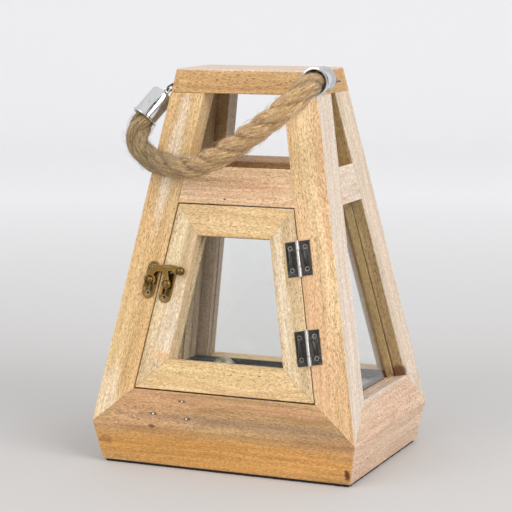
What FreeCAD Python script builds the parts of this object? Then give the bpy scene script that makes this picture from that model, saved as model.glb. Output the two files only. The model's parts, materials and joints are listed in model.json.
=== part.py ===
"""Wooden candle lantern: a leaning, glazed frame with a hinged door and a rope handle.

Millimetres. +Z is up, the door faces -Y, and the origin is the middle of the underside.

Every wall is laid out in its own frame, which leans with it: X runs across the wall, Z runs
up its outer face from the crease of the base, and Y goes in through its thickness.
"""
import math
import os
from collections import namedtuple

import FreeCAD
import Part
import Sketcher
from FreeCAD import Rotation, Vector

doc = FreeCAD.newDocument("CandleLantern")

# ---------------------------------------------------------------- driving sizes
SIZES = {
    # the body
    "base_wide": 216,            # across the crease of the base, the widest line
    "base_deep": 160,
    "wall_lean": 10.8,           # degrees each wall leans in
    "pad_thick": 2,
    "pad_inset": 1.5,
    "skirt_high": 30.5,          # from the underside of the wood up to the crease
    "skirt_inset": 5.8,
    "sill_rise": 27.5,           # from the crease up to the sill
    "window_high": 141,
    "mid_rail_high": 28,
    "upper_gap_high": 54,
    "stile_wide": 28,
    "frame_thick": 18,
    "top_board_thick": 18,
    # glass
    "glass_thick": 2,
    "glass_set_back": 9.5,       # outer face of the wood to the pane's groove
    "glass_in_wood": 4,
    "glass_slack": 0.2,
    # the floor
    "floor_thick": 12,
    "floor_groove_in": 17,       # wood left outside the floor's groove, from the crease
    "floor_slack": 0.3,
    "plate_thick": 1,
    "plate_slack": 1,
    "floor_below_sill": 4.5,
    "button_radius": 10,
    "button_high": 7.3,
    "button_inset": 31,          # plate's end to a button's centre
    "button_inset_deep": 12,
    # the door
    "door_gap": 0.8,
    "door_stile_wide": 22,
    "door_rail_wide": 23.5,
    "door_back_bevel": 1.8,      # off the free edge's inner corner, so that it clears the frame
    # hinges
    "hinge_high": 26,
    "hinge_half_wide": 9.75,
    "hinge_leaf_thick": 0.8,
    "hinge_barrel_radius": 1.3,
    "hinge_pin_radius": 0.6,
    "hinge_fit": 0.05,
    "hinge_end_knuckle": 7,
    "hinge_screw_across": 6,
    "hinge_screw_up": 8.2,
    "upper_hinge_drop": 36.5,    # top of the window to the middle of the hinge
    "lower_hinge_rise": 40.5,    # sill to the middle of the hinge
    # latch
    "latch_rise": 81,            # sill to the pivot
    "latch_door_side": 7.5,      # seam to the pivot, on the door
    "latch_frame_side": 6.9,     # seam to the post that the arm hooks over
    "latch_plate_wide": 10.4,
    "latch_plate_long": 29,
    "latch_plate_thick": 1,
    "latch_screw_up": 10.2,
    "latch_lift": 0.3,           # plate to arm
    "latch_arm_thick": 2.4,
    "latch_arm_wide": 4.8,
    "latch_arm_rise": 3.5,       # post to the start of the arm's bend
    "latch_arm_bend": 7,
    "latch_arm_slope": 15,
    "latch_arm_straight": 7.8,
    "latch_stem_lean": 18,
    "latch_stem_long": 11,
    "latch_boss_radius": 3.6,
    "latch_ball_radius": 3.3,
    "latch_ball_across": 9.2,    # pivot to the ball
    "latch_ball_up": 12.2,
    "rivet_radius": 1.5,
    "rivet_head_radius": 3.2,
    "rivet_head_high": 1.8,
    "keeper_radius": 2.9,
    "keeper_slack": 0.4,
    "keeper_hook_wall": 1.5,
    # small screws of the hinges and the latch
    "screw_radius": 1,
    "screw_head_radius": 1.8,
    "screw_long": 9,
    "screw_fit": 0.05,
    # rope handle
    "rope_radius": 8.8,
    "cap_long": 25,
    "rope_end_slack": 0.2,
    "cap_bore_slack": 0.1,
    "cap_wall": 0.8,
    "cap_end_thick": 1,
    "cap_rim": 1,
    "eye_height_in_board": 9,    # underside of the top board to the eyes
    "eye_radius": 2.6,
    "eye_stand_off": 4.2,
    "eye_shank_radius": 1.2,
    "eye_shank_long": 14,
    "eye_end_slack": 0.3,
    "wire_radius": 0.7,
    "link_slack": 0.25,
    "link_pitch": 6.5,
    "link_half_wide": 2,
}

sheet = doc.addObject("Spreadsheet::Sheet", "Sizes")
for row, (name, number) in enumerate(SIZES.items(), 1):
    sheet.set(f"A{row}", name)
    sheet.set(f"B{row}", str(number))
    sheet.setAlias(f"B{row}", name)
doc.recompute()


def value(expression):
    """The number that an expression of the sheet's sizes gives."""
    result = sheet.evalExpression(expression)
    return getattr(result, "Value", result)


def size(name):
    return value(f"Sizes.{name}")


# ---------------------------------------------------------------- the leaning walls
LEAN = "Sizes.wall_lean"
THICK = "Sizes.frame_thick"
CREASE = "(Sizes.pad_thick + Sizes.skirt_high)"
SILL_RISE = "Sizes.sill_rise"
HEAD_RISE = f"({SILL_RISE} + Sizes.window_high)"
RAIL_TOP_RISE = f"({HEAD_RISE} + Sizes.mid_rail_high)"
BOARD_RISE = f"({RAIL_TOP_RISE} + Sizes.upper_gap_high)"
FLOOR_RISE = f"({SILL_RISE} - Sizes.floor_below_sill)"


def up_face(rise):
    """Distance up a wall's outer face that rises this far above the crease."""
    return f"(({rise}) / cos({LEAN}))"


SILL = up_face(SILL_RISE)
HEAD = up_face(HEAD_RISE)
RAIL_TOP = up_face(RAIL_TOP_RISE)
STILE_TOP = f"({up_face(BOARD_RISE)} + {THICK} * tan({LEAN}))"

Wall = namedtuple("Wall", "name turn half reach plus minus")
WALLS = [
    Wall("front", 0, "Sizes.base_wide / 2", "Sizes.base_deep / 2", "right", "left"),
    Wall("right", 90, "Sizes.base_deep / 2", "Sizes.base_wide / 2", "back", "front"),
    Wall("back", 180, "Sizes.base_wide / 2", "Sizes.base_deep / 2", "left", "right"),
    Wall("left", 270, "Sizes.base_deep / 2", "Sizes.base_wide / 2", "front", "back"),
]
FRONT = WALLS[0]


def place(x="0", y="0", z="0", axis=(0, 0, 1), angle="0"):
    """A placement written as an expression."""
    spin = f"rotation(vector({axis[0]}; {axis[1]}; {axis[2]}); {angle})"
    return f"placement(vector({x}; {y}; {z}); {spin})"


def on_wall(wall):
    """The leaning frame of a wall's outer face, with its origin on the crease."""
    return f"{place(angle=wall.turn)} * {place(y=f'-{wall.reach}', z=CREASE, axis=(1, 0, 0), angle=f'-{LEAN}')}"


def arris(wall, up):
    """Half the wall's width at a distance up its face."""
    return f"({wall.half} - {up} * sin({LEAN}))"


def opening(wall, up):
    """Half the width between the wall's two stiles."""
    return f"({arris(wall, up)} - Sizes.stile_wide)"


def door_edge(up):
    return f"({opening(FRONT, up)} - Sizes.door_gap)"


def door_window(up):
    return f"({door_edge(up)} - Sizes.door_stile_wide)"


# ---------------------------------------------------------------- modelling helpers
FLAT = {"XY": "XY_Plane", "XZ": "XZ_Plane", "YZ": "YZ_Plane"}


def new_body(label, where=None):
    body = doc.addObject("PartDesign::Body", label)
    body.Label = label
    if where:
        body.setExpression("Placement", where)
    return body


def new_sketch(body, plane, offset=None):
    """An empty sketch on one of the body's own planes, or on that plane moved by an expression."""
    sketch = body.newObject("Sketcher::SketchObject", "Sketch")
    support = [item for item in body.Origin.OriginFeatures if item.Role == FLAT[plane]][0]
    sketch.AttachmentSupport = [(support, "")]
    sketch.MapMode = "FlatFace"
    if offset:
        sketch.setExpression("AttachmentOffset", offset)
    return sketch


def tie_point(sketch, geometry, point, across, up):
    """Hold a sketch point at two expressions, measured from the sketch's origin."""
    for kind, expression in (("DistanceX", across), ("DistanceY", up)):
        constraint = Sketcher.Constraint(kind, -1, 1, geometry, point, value(expression))
        index = sketch.addConstraint(constraint)
        sketch.setExpression(f"Constraints[{index}]", expression)


def draw_outline(sketch, corners):
    """A closed outline of straight lines through corners given as pairs of expressions."""
    points = [Vector(value(across), value(up), 0) for across, up in corners]
    first = sketch.GeometryCount
    count = len(points)
    for index, point in enumerate(points):
        sketch.addGeometry(Part.LineSegment(point, points[(index + 1) % count]))
    for index in range(count):
        following = first + (index + 1) % count
        sketch.addConstraint(Sketcher.Constraint("Coincident", first + index, 2, following, 1))
    for index, (across, up) in enumerate(corners):
        tie_point(sketch, first + index, 1, across, up)


def draw_circle(sketch, across, up, radius):
    centre = Vector(value(across), value(up), 0)
    index = sketch.addGeometry(Part.Circle(centre, Vector(0, 0, 1), value(radius)))
    tie_point(sketch, index, 3, across, up)
    constraint = sketch.addConstraint(Sketcher.Constraint("Radius", index, value(radius)))
    sketch.setExpression(f"Constraints[{constraint}]", radius)


def extrude(body, kind, sketch, length, reverse=False, symmetric=False, taper=None):
    feature = body.newObject(f"PartDesign::{kind}", kind)
    feature.Profile = sketch
    feature.setExpression("Length", length)
    feature.Reversed = reverse
    if symmetric:
        feature.SideType = "Symmetric"
    if taper:
        feature.setExpression("TaperAngle", taper)
    return feature


def board(label, wall, corners):
    """A board of the leaning frame: its outline on the outer face, as thick as the frame."""
    body = new_body(label, on_wall(wall))
    sketch = new_sketch(body, "XZ")
    draw_outline(sketch, corners)
    extrude(body, "Pad", sketch, THICK, reverse=True)
    return body


def mirror_corners(corners, side):
    return [(f"{side} * {across}", up) for across, up in corners]


def level_plane(rise):
    """The offset that turns a wall's XY plane level, at a rise above the crease."""
    return place(y=f"-({rise}) * sin({LEAN})", z=f"({rise}) * cos({LEAN})", axis=(1, 0, 0), angle=LEAN)


def cut_arris_mitres(body, wall, sides):
    """Bevel the ends that meet the next wall, along the upright planes at 45 degrees in plan."""
    sketch = new_sketch(body, "XY", level_plane("0"))
    beyond = "Sizes.base_deep / 2"
    for side in sides:
        draw_outline(sketch, mirror_corners([
            (f"({wall.half} + {beyond})", f"-{beyond}"),
            (f"({wall.half} + {beyond})", beyond),
            (f"({wall.half} - {beyond})", beyond),
        ], side))
    extrude(body, "Pocket", sketch, "3 * (Sizes.window_high + Sizes.base_wide)", symmetric=True)


def cut_level_top(body, wall):
    """Cut a stile's top level with the underside of the top board."""
    sketch = new_sketch(body, "XY", level_plane(BOARD_RISE))
    draw_outline(sketch, [
        (f"-{wall.half}", f"-{THICK}"),
        (wall.half, f"-{THICK}"),
        (wall.half, "Sizes.base_deep"),
        (f"-{wall.half}", "Sizes.base_deep"),
    ])
    extrude(body, "Pocket", sketch, f"2 * {THICK}", reverse=True)


def cut_glass_groove(body, window, low, high):
    """Saw the groove that a pane slides into, round a window whose half width is window(up)."""
    sketch = new_sketch(body, "XZ", place(z="-(Sizes.glass_set_back - Sizes.glass_slack / 2)"))
    bottom = f"({low} - Sizes.glass_in_wood)"
    top = f"({high} + Sizes.glass_in_wood)"
    half_low = f"({window(bottom)} + Sizes.glass_in_wood)"
    half_high = f"({window(top)} + Sizes.glass_in_wood)"
    draw_outline(sketch, [
        (f"-{half_low}", bottom),
        (half_low, bottom),
        (half_high, top),
        (f"-{half_high}", top),
    ])
    extrude(body, "Pocket", sketch, "Sizes.glass_thick + Sizes.glass_slack")


def make_pane(label, wall, window, low, high):
    """A pane that stands on the bottom of its groove, with slack at its sides and top."""
    body = new_body(label, on_wall(wall))
    sketch = new_sketch(body, "XZ", place(z="-Sizes.glass_set_back"))
    bottom = f"({low} - Sizes.glass_in_wood)"
    top = f"({high} + Sizes.glass_in_wood - 2 * Sizes.glass_slack)"
    half_low = f"({window(bottom)} + Sizes.glass_in_wood - Sizes.glass_slack)"
    half_high = f"({window(top)} + Sizes.glass_in_wood - Sizes.glass_slack)"
    draw_outline(sketch, [
        (f"-{half_low}", bottom),
        (half_low, bottom),
        (half_high, top),
        (f"-{half_high}", top),
    ])
    extrude(body, "Pad", sketch, "Sizes.glass_thick", reverse=True)
    return body


def drill(body, centres):
    """Pilot holes for the small screws, at centres given as pairs of expressions."""
    sketch = new_sketch(body, "XZ")
    for across, up in centres:
        draw_circle(sketch, across, up, "Sizes.screw_radius + Sizes.screw_fit")
    extrude(body, "Pocket", sketch, "Sizes.screw_long + 2 * Sizes.screw_fit")


# ---------------------------------------------------------------- frame of each wall
def make_stile(wall, side):
    name = wall.plus if side > 0 else wall.minus
    body = board(f"{wall.name}_{name}_stile", wall, mirror_corners([
        (wall.half, "0"),
        (arris(wall, STILE_TOP), STILE_TOP),
        (opening(wall, STILE_TOP), STILE_TOP),
        (opening(wall, SILL), SILL),
    ], side))
    cut_arris_mitres(body, wall, [side])
    cut_level_top(body, wall)
    return body


def make_mid_rail(wall):
    return board(f"{wall.name}_mid_rail", wall, [
        (f"-{opening(wall, HEAD)}", HEAD),
        (opening(wall, HEAD), HEAD),
        (opening(wall, RAIL_TOP), RAIL_TOP),
        (f"-{opening(wall, RAIL_TOP)}", RAIL_TOP),
    ])


def make_base_rail(wall):
    """One board, creased outside: the upper facet follows the wall, the lower one tapers in."""
    body = new_body(f"{wall.name}_base_rail", on_wall(wall))
    section = new_sketch(body, "YZ")
    inner_crease = f"{THICK} * tan({LEAN})"
    draw_outline(section, [
        ("0", "0"),
        ("0", SILL),
        (THICK, SILL),
        (THICK, inner_crease),
        (f"({THICK} + Sizes.skirt_high * sin({LEAN}))", f"({inner_crease} - Sizes.skirt_high * cos({LEAN}))"),
        (f"(Sizes.skirt_inset * cos({LEAN}) + Sizes.skirt_high * sin({LEAN}))",
         f"(Sizes.skirt_inset * sin({LEAN}) - Sizes.skirt_high * cos({LEAN}))"),
    ])
    extrude(body, "Pad", section, f"2 * {wall.half}", symmetric=True)
    cut_arris_mitres(body, wall, [1, -1])
    shoulders = new_sketch(body, "XZ")
    for side in (1, -1):
        draw_outline(shoulders, mirror_corners([
            (wall.half, "0"),
            (f"({wall.half} + {THICK})", "0"),
            (f"({wall.half} + {THICK})", f"({SILL} + {THICK})"),
            (opening(wall, SILL), f"({SILL} + {THICK})"),
            (opening(wall, SILL), SILL),
        ], side))
    extrude(body, "Pocket", shoulders, f"3 * {THICK}")
    return body


def cut_floor_groove(body, wall):
    sketch = new_sketch(body, "XY", level_plane(f"{FLOOR_RISE} - Sizes.plate_thick + Sizes.floor_slack"))
    outer = "(Sizes.floor_groove_in - Sizes.floor_slack)"
    draw_outline(sketch, [
        (f"-{wall.half}", outer),
        (wall.half, outer),
        (wall.half, f"3 * {THICK}"),
        (f"-{wall.half}", f"3 * {THICK}"),
    ])
    extrude(body, "Pocket", sketch, "Sizes.floor_thick + Sizes.floor_slack")


stiles = {}
for wall in WALLS:
    def window(up, wall=wall):
        return opening(wall, up)

    stiles[wall.name] = {side: make_stile(wall, side) for side in (1, -1)}
    mid_rail = make_mid_rail(wall)
    base_rail = make_base_rail(wall)
    for member in (*stiles[wall.name].values(), base_rail):
        cut_floor_groove(member, wall)
    if wall is not FRONT:
        for member in (*stiles[wall.name].values(), mid_rail, base_rail):
            cut_glass_groove(member, window, SILL, HEAD)
        make_pane(f"{wall.name}_glass", wall, window, SILL, HEAD)


# ---------------------------------------------------------------- top board
BOARD_Z = f"({CREASE} + {BOARD_RISE})"
EYE_Z = f"({BOARD_Z} + Sizes.eye_height_in_board)"


def half_at(half, z):
    """Half the body's width or depth at a height above the floor."""
    return f"({half} - ({z} - {CREASE}) * tan({LEAN}))"


def rectangle(half_x, half_y):
    return [(f"-{half_x}", f"-{half_y}"), (half_x, f"-{half_y}"), (half_x, half_y), (f"-{half_x}", half_y)]


top_board = new_body("top_board")
sketch = new_sketch(top_board, "XY", place(z=BOARD_Z))
draw_outline(sketch, rectangle(half_at("Sizes.base_wide / 2", BOARD_Z), half_at("Sizes.base_deep / 2", BOARD_Z)))
extrude(top_board, "Pad", sketch, "Sizes.top_board_thick", taper=f"-{LEAN}")
EYE_FACE = half_at("Sizes.base_wide / 2", EYE_Z)
for side in (1, -1):
    sketch = new_sketch(top_board, "YZ", place(z=f"{side} * ({EYE_FACE} - Sizes.eye_shank_long - Sizes.eye_end_slack)"))
    draw_circle(sketch, "0", EYE_Z, "Sizes.eye_shank_radius + Sizes.hinge_fit")
    extrude(top_board, "Pocket", sketch, "2 * Sizes.eye_shank_long", reverse=side > 0)


# ---------------------------------------------------------------- floor and pad
def make_sheet(label, low, thick, half_x, half_y):
    body = new_body(label)
    outline = new_sketch(body, "XY", place(z=low))
    draw_outline(outline, rectangle(half_x, half_y))
    extrude(body, "Pad", outline, thick)
    return body


FLOOR_TOP = f"({CREASE} + {FLOOR_RISE})"
INNER_OFFSET = f"(({THICK} / cos({LEAN})) + ({FLOOR_RISE} * tan({LEAN})) + Sizes.plate_slack)"
PLATE_HALF_X = f"(Sizes.base_wide / 2 - {INNER_OFFSET})"
PLATE_HALF_Y = f"(Sizes.base_deep / 2 - {INNER_OFFSET})"
PAD_EDGE = "(Sizes.skirt_inset + Sizes.pad_inset)"

make_sheet("base_pad", "0", "Sizes.pad_thick",
           f"(Sizes.base_wide / 2 - {PAD_EDGE})", f"(Sizes.base_deep / 2 - {PAD_EDGE})")
make_sheet("floor_board", f"({FLOOR_TOP} - Sizes.plate_thick - Sizes.floor_thick)", "Sizes.floor_thick",
           "(Sizes.base_wide / 2 - Sizes.floor_groove_in)", "(Sizes.base_deep / 2 - Sizes.floor_groove_in)")
make_sheet("floor_plate", f"({FLOOR_TOP} - Sizes.plate_thick)", "Sizes.plate_thick", PLATE_HALF_X, PLATE_HALF_Y)


# ---------------------------------------------------------------- door
DOOR_LOW = f"({SILL} + Sizes.door_gap)"
DOOR_HIGH = f"({HEAD} - Sizes.door_gap)"
PANE_LOW = f"({DOOR_LOW} + Sizes.door_rail_wide)"
PANE_HIGH = f"({DOOR_HIGH} - Sizes.door_rail_wide)"


def make_door_stile(label, side):
    return board(label, FRONT, mirror_corners([
        (door_edge(DOOR_LOW), DOOR_LOW),
        (door_edge(DOOR_HIGH), DOOR_HIGH),
        (door_window(PANE_HIGH), PANE_HIGH),
        (door_window(PANE_LOW), PANE_LOW),
    ], side))


def make_door_rail(label, outer, inner):
    return board(label, FRONT, [
        (f"-{door_edge(outer)}", outer),
        (door_edge(outer), outer),
        (door_window(inner), inner),
        (f"-{door_window(inner)}", inner),
    ])


def level_foot(body):
    """Plane the bottom edge level, so that it clears the sill as the door turns on its leaning hinges."""
    sketch = new_sketch(body, "XY", level_plane(f"{DOOR_LOW} * cos({LEAN})"))
    half = "Sizes.base_wide / 2"
    draw_outline(sketch, [(f"-{half}", "0"), (half, "0"), (half, f"6 * {THICK}"), (f"-{half}", f"6 * {THICK}")])
    extrude(body, "Pocket", sketch, THICK)


def bevel_free_edge(body):
    """Plane the free edge back, so that its inner corner clears the frame as the door opens."""
    edge = place(f"-{door_edge(DOOR_LOW)}", "0", DOOR_LOW, (0, 1, 0), f"atan(sin({LEAN}))")
    sketch = new_sketch(body, "XY", edge)
    draw_outline(sketch, [
        ("0", "0"),
        (f"Sizes.door_back_bevel * (1 + 1 / {THICK})", f"({THICK} + 1)"),
        ("-1", f"({THICK} + 1)"),
        ("-1", "0"),
    ])
    extrude(body, "Pocket", sketch, "3 * Sizes.window_high", symmetric=True)


door_stiles = {1: make_door_stile("door_right_stile", 1), -1: make_door_stile("door_left_stile", -1)}
door_rails = [make_door_rail("door_bottom_rail", DOOR_LOW, PANE_LOW),
              make_door_rail("door_top_rail", DOOR_HIGH, PANE_HIGH)]
for member in (*door_stiles.values(), *door_rails):
    cut_glass_groove(member, door_window, PANE_LOW, PANE_HIGH)
for member in (*door_stiles.values(), door_rails[0]):
    level_foot(member)
for member in (door_stiles[-1], *door_rails):
    bevel_free_edge(member)
make_pane("door_glass", FRONT, door_window, PANE_LOW, PANE_HIGH)


# ---------------------------------------------------------------- groups of small solids
def group(label, shapes):
    """Separate solids that share one node."""
    feature = doc.addObject("Part::Feature", label)
    feature.Label = label
    feature.Shape = shapes[0] if len(shapes) == 1 else Part.makeCompound(shapes)
    return feature


def turned(profile):
    """A solid turned about its own Z axis from a profile of (radius, height) points."""
    wire = Part.makePolygon([Vector(radius, 0, height) for radius, height in [*profile, profile[0]]])
    return Part.Face(wire).revolve(Vector(0, 0, 0), Vector(0, 0, 1), 360)


def dome(radius, height):
    """A spherical cap that stands on the XY plane."""
    ball_radius = (radius ** 2 + height ** 2) / (2 * height)
    sphere = Part.makeSphere(ball_radius, Vector(0, 0, height - ball_radius))
    return sphere.common(Part.makeCylinder(radius + 1, height))


def screw_shape():
    """A countersunk screw along -Z whose head is flush with the XY plane, with a cross slot."""
    head = size("screw_head_radius")
    shank = size("screw_radius")
    tip = 1.5 * shank
    length = size("screw_long") + size("hinge_leaf_thick")
    body = turned([(0, 0), (head, 0), (shank, shank - head), (shank, tip - length), (0, -length)])
    slot = 0.4
    for turn in (0, 90):
        blade = Part.makeBox(1.4 * head, slot, slot, Vector(-0.7 * head, -slot / 2, -slot))
        blade.rotate(Vector(0, 0, 0), Vector(0, 0, 1), turn)
        body = body.cut(blade)
    return body


def moved(shape, placement):
    copy = shape.copy()
    copy.Placement = placement
    return copy


# ---------------------------------------------------------------- seams that carry the hardware
SEAM_ANGLE = f"atan(sin({LEAN}))"
FACE_OUT = FreeCAD.Placement(Vector(0, 0, 0), Rotation(Vector(1, 0, 0), 90))    # local Z out of the face


def seam_frame(side, up, across="0", out="0"):
    """A frame on the front face whose Z runs up the door's seam, moved across it and out of the face."""
    start = f"({side} * ({opening(FRONT, up)} - Sizes.door_gap / 2))"
    lean_over = f"-{side} * {SEAM_ANGLE}"
    return f"{on_wall(FRONT)} * {place(start, f'-({out})', up, (0, 1, 0), lean_over)} * {place(x=across)}"


def placement_of(expression):
    return sheet.evalExpression(expression)


def seam_point(side, up, across, along):
    """Where a point of a seam's frame lies on the wall: a pair of expressions."""
    start = f"{side} * ({opening(FRONT, up)} - Sizes.door_gap / 2)"
    turn = f"({side} * {SEAM_ANGLE})"
    return (f"({start} + {across} * cos({turn}) - {along} * sin({turn}))",
            f"({up} + {across} * sin({turn}) + {along} * cos({turn}))")


# ---------------------------------------------------------------- hinges
HINGE_RISES = {
    "upper": up_face(f"{HEAD_RISE} - Sizes.upper_hinge_drop"),
    "lower": up_face(f"{SILL_RISE} + Sizes.lower_hinge_rise"),
}


def box(name, x0, x1, y0, y1, z0, z1):
    item = doc.addObject("Part::Box", name)
    item.setExpression("Length", f"({x1}) - ({x0})")
    item.setExpression("Width", f"({y1}) - ({y0})")
    item.setExpression("Height", f"({z1}) - ({z0})")
    item.setExpression("Placement", place(x0, y0, z0))
    return item


def cylinder(name, radius, low, high, x="0", y="0"):
    item = doc.addObject("Part::Cylinder", name)
    item.setExpression("Radius", radius)
    item.setExpression("Height", f"({high}) - ({low})")
    item.setExpression("Placement", place(x, y, low))
    return item


def make_leaf(label, where, side, knuckles):
    """A hinge leaf: a plate, its rolled knuckles, the pin's bore and two countersunk holes."""
    half_high = "Sizes.hinge_high / 2"
    barrel = "Sizes.hinge_barrel_radius"
    front = f"({barrel} - Sizes.hinge_leaf_thick)"
    gap = f"({barrel} + 0.2)"
    pieces = []

    def strip(name, x_in, x_out, low, high):
        ends = (x_in, x_out) if side > 0 else (f"-({x_out})", f"-({x_in})")
        return box(name, *ends, front, barrel, low, high)

    pieces.append(strip("Plate", gap, "Sizes.hinge_half_wide", f"-{half_high}", half_high))
    for low, high in knuckles:
        pieces.append(cylinder("Knuckle", barrel, low, high))
        pieces.append(strip("Curl", "0", gap, low, high))
    blank = doc.addObject("Part::MultiFuse", "Blank")
    blank.Shapes = pieces
    bore = cylinder("Bore", "Sizes.hinge_pin_radius + Sizes.hinge_fit", f"-{half_high} - 1", f"{half_high} + 1")
    cutters = [bore]
    for end in (1, -1):
        sink = doc.addObject("Part::Cone", "Countersink")
        depth = "(Sizes.screw_head_radius - Sizes.screw_radius)"
        sink.setExpression("Radius1", "Sizes.screw_head_radius + Sizes.screw_fit")
        sink.setExpression("Radius2", "Sizes.screw_radius + Sizes.screw_fit")
        sink.setExpression("Height", depth)
        sink.setExpression("Placement", place(f"{side} * Sizes.hinge_screw_across", front,
                                              f"{end} * Sizes.hinge_screw_up", (1, 0, 0), "-90"))
        cutters.append(sink)
    tool = doc.addObject("Part::MultiFuse", "Tool")
    tool.Shapes = cutters
    leaf = doc.addObject("Part::Cut", label)
    leaf.Label = label
    leaf.Base = blank
    leaf.Tool = tool
    leaf.setExpression("Placement", where)
    return leaf


def hinge_knuckles(frame_side):
    """Two end knuckles on the frame's leaf and a long one between them on the door's."""
    end = "Sizes.hinge_high / 2"
    inner = f"({end} - Sizes.hinge_end_knuckle)"
    slack = "2 * Sizes.hinge_fit"
    if frame_side:
        return [(f"-{end}", f"-{inner} - {slack}"), (f"{inner} + {slack}", end)]
    return [(f"-{inner} + {slack}", f"{inner} - {slack}")]


hinge_screws = {"hinge_frame_screws": [], "hinge_door_screws": []}
hinge_holes = {1: [], -1: []}
for name, up in HINGE_RISES.items():
    frame = seam_frame(1, up, out="Sizes.hinge_barrel_radius")
    make_leaf(f"{name}_hinge_frame_leaf", frame, 1, hinge_knuckles(True))
    make_leaf(f"{name}_hinge_door_leaf", frame, -1, hinge_knuckles(False))
    head_radius = size("hinge_barrel_radius")
    half_high = size("hinge_high") / 2
    pin_radius = size("hinge_pin_radius")
    head_high = 0.8
    pin = turned([(0, -half_high - head_high), (head_radius * 0.8, -half_high - head_high),
                  (head_radius, -half_high - head_high / 2), (head_radius, -half_high), (pin_radius, -half_high),
                  (pin_radius, half_high), (head_radius, half_high), (head_radius, half_high + head_high / 2),
                  (head_radius * 0.8, half_high + head_high), (0, half_high + head_high)])
    group(f"{name}_hinge_pin", [moved(pin, placement_of(frame))])
    for side, node in ((1, "hinge_frame_screws"), (-1, "hinge_door_screws")):
        for end in (1, -1):
            across = f"({side} * Sizes.hinge_screw_across)"
            along = f"({end} * Sizes.hinge_screw_up)"
            hinge_holes[side].append(seam_point(1, up, across, along))
            seat = f"{frame} * {place(across, 'Sizes.hinge_barrel_radius - Sizes.hinge_leaf_thick', along)}"
            hinge_screws[node].append(moved(screw_shape(), placement_of(seat) * FACE_OUT))
for node, shapes in hinge_screws.items():
    group(node, shapes)
drill(stiles["front"][1], hinge_holes[1])
drill(door_stiles[1], hinge_holes[-1])


# ---------------------------------------------------------------- latch
LATCH_UP = up_face(f"{SILL_RISE} + Sizes.latch_rise")
PLATE_FACE = "Sizes.latch_plate_thick"


def make_latch_plate(label, across):
    """A plate with round ends and two countersunk holes, centred on its rivet or post."""
    body = new_body(label, seam_frame(-1, LATCH_UP, across))
    half_wide = "Sizes.latch_plate_wide / 2"
    straight = "(Sizes.latch_plate_long - Sizes.latch_plate_wide) / 2"
    sketch = new_sketch(body, "XZ")
    wide = value(half_wide)
    high = value(straight)
    sketch.addGeometry(Part.LineSegment(Vector(wide, -high, 0), Vector(wide, high, 0)))
    sketch.addGeometry(Part.ArcOfCircle(Part.Circle(Vector(0, high, 0), Vector(0, 0, 1), wide), 0, math.pi))
    sketch.addGeometry(Part.LineSegment(Vector(-wide, high, 0), Vector(-wide, -high, 0)))
    sketch.addGeometry(Part.ArcOfCircle(Part.Circle(Vector(0, -high, 0), Vector(0, 0, 1), wide),
                                        math.pi, 2 * math.pi))
    for line, arc, ends in ((0, 1, (2, 1)), (2, 1, (1, 2)), (2, 3, (2, 1)), (0, 3, (1, 2))):
        sketch.addConstraint(Sketcher.Constraint("Tangent", line, ends[0], arc, ends[1]))
    tie_point(sketch, 1, 3, "0", straight)
    tie_point(sketch, 3, 3, "0", f"-{straight}")
    constraint = sketch.addConstraint(Sketcher.Constraint("Radius", 1, wide))
    sketch.setExpression(f"Constraints[{constraint}]", half_wide)
    extrude(body, "Pad", sketch, PLATE_FACE)
    for end in (1, -1):
        hole = new_sketch(body, "XZ", place(z=PLATE_FACE))
        draw_circle(hole, "0", f"{end} * Sizes.latch_screw_up", "Sizes.screw_head_radius + Sizes.screw_fit")
        sink = extrude(body, "Pocket", hole, PLATE_FACE)
        sink.setExpression("TaperAngle", f"-atan((Sizes.screw_head_radius - Sizes.screw_radius) / {PLATE_FACE})")
    return body


LATCH_PLATES = {
    "latch_door_plate": ("Sizes.latch_door_side", door_stiles[-1]),
    "latch_frame_plate": ("-Sizes.latch_frame_side", stiles["front"][-1]),
}
for label, (across, wood) in LATCH_PLATES.items():
    make_latch_plate(label, across)
    screws = []
    holes = []
    for end in (1, -1):
        up = f"({end} * Sizes.latch_screw_up)"
        holes.append(seam_point(-1, LATCH_UP, across, up))
        seat = f"{seam_frame(-1, LATCH_UP, across)} * {place(y=f'-{PLATE_FACE}', z=up)}"
        screws.append(moved(screw_shape(), placement_of(seat) * FACE_OUT))
    group(label.replace("plate", "screws"), screws)
    drill(wood, holes)

latch_low = size("latch_plate_thick") + size("latch_lift")
latch_top = latch_low + size("latch_arm_thick")
latch_reach = size("latch_door_side") + size("latch_frame_side")
pivot_frame = placement_of(seam_frame(-1, LATCH_UP, "Sizes.latch_door_side")) * FACE_OUT
post_frame = placement_of(seam_frame(-1, LATCH_UP, "-Sizes.latch_frame_side")) * FACE_OUT


def arm_path(ball):
    """The middle line of the arm, from over the post, round its bend and along to the ball."""
    slope = math.radians(size("latch_arm_slope"))
    bend = size("latch_arm_bend")
    foot = Vector(-latch_reach, 0, latch_low)
    bend_start = foot + Vector(0, size("latch_arm_rise"), 0)
    bend_centre = bend_start + Vector(bend, 0, 0)
    halfway = (math.pi / 2 + slope) / 2
    bend_middle = bend_centre + bend * Vector(-math.sin(halfway), math.cos(halfway), 0)
    bend_end = bend_centre + bend * Vector(-math.sin(slope), math.cos(slope), 0)
    crest = bend_end + size("latch_arm_straight") * Vector(math.cos(slope), math.sin(slope), 0)
    across = Vector(math.sin(slope), -math.cos(slope), 0)
    to_ball = ball - crest
    radius = to_ball.Length ** 2 / (2 * to_ball.dot(across))
    centre = crest + radius * across
    droop_middle = centre + radius * ((crest - centre) + (ball - centre)).normalize()
    return Part.Wire([
        Part.LineSegment(foot, bend_start).toShape(),
        Part.Arc(bend_start, bend_middle, bend_end).toShape(),
        Part.LineSegment(bend_end, crest).toShape(),
        Part.Arc(crest, droop_middle, ball).toShape(),
    ])


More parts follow.
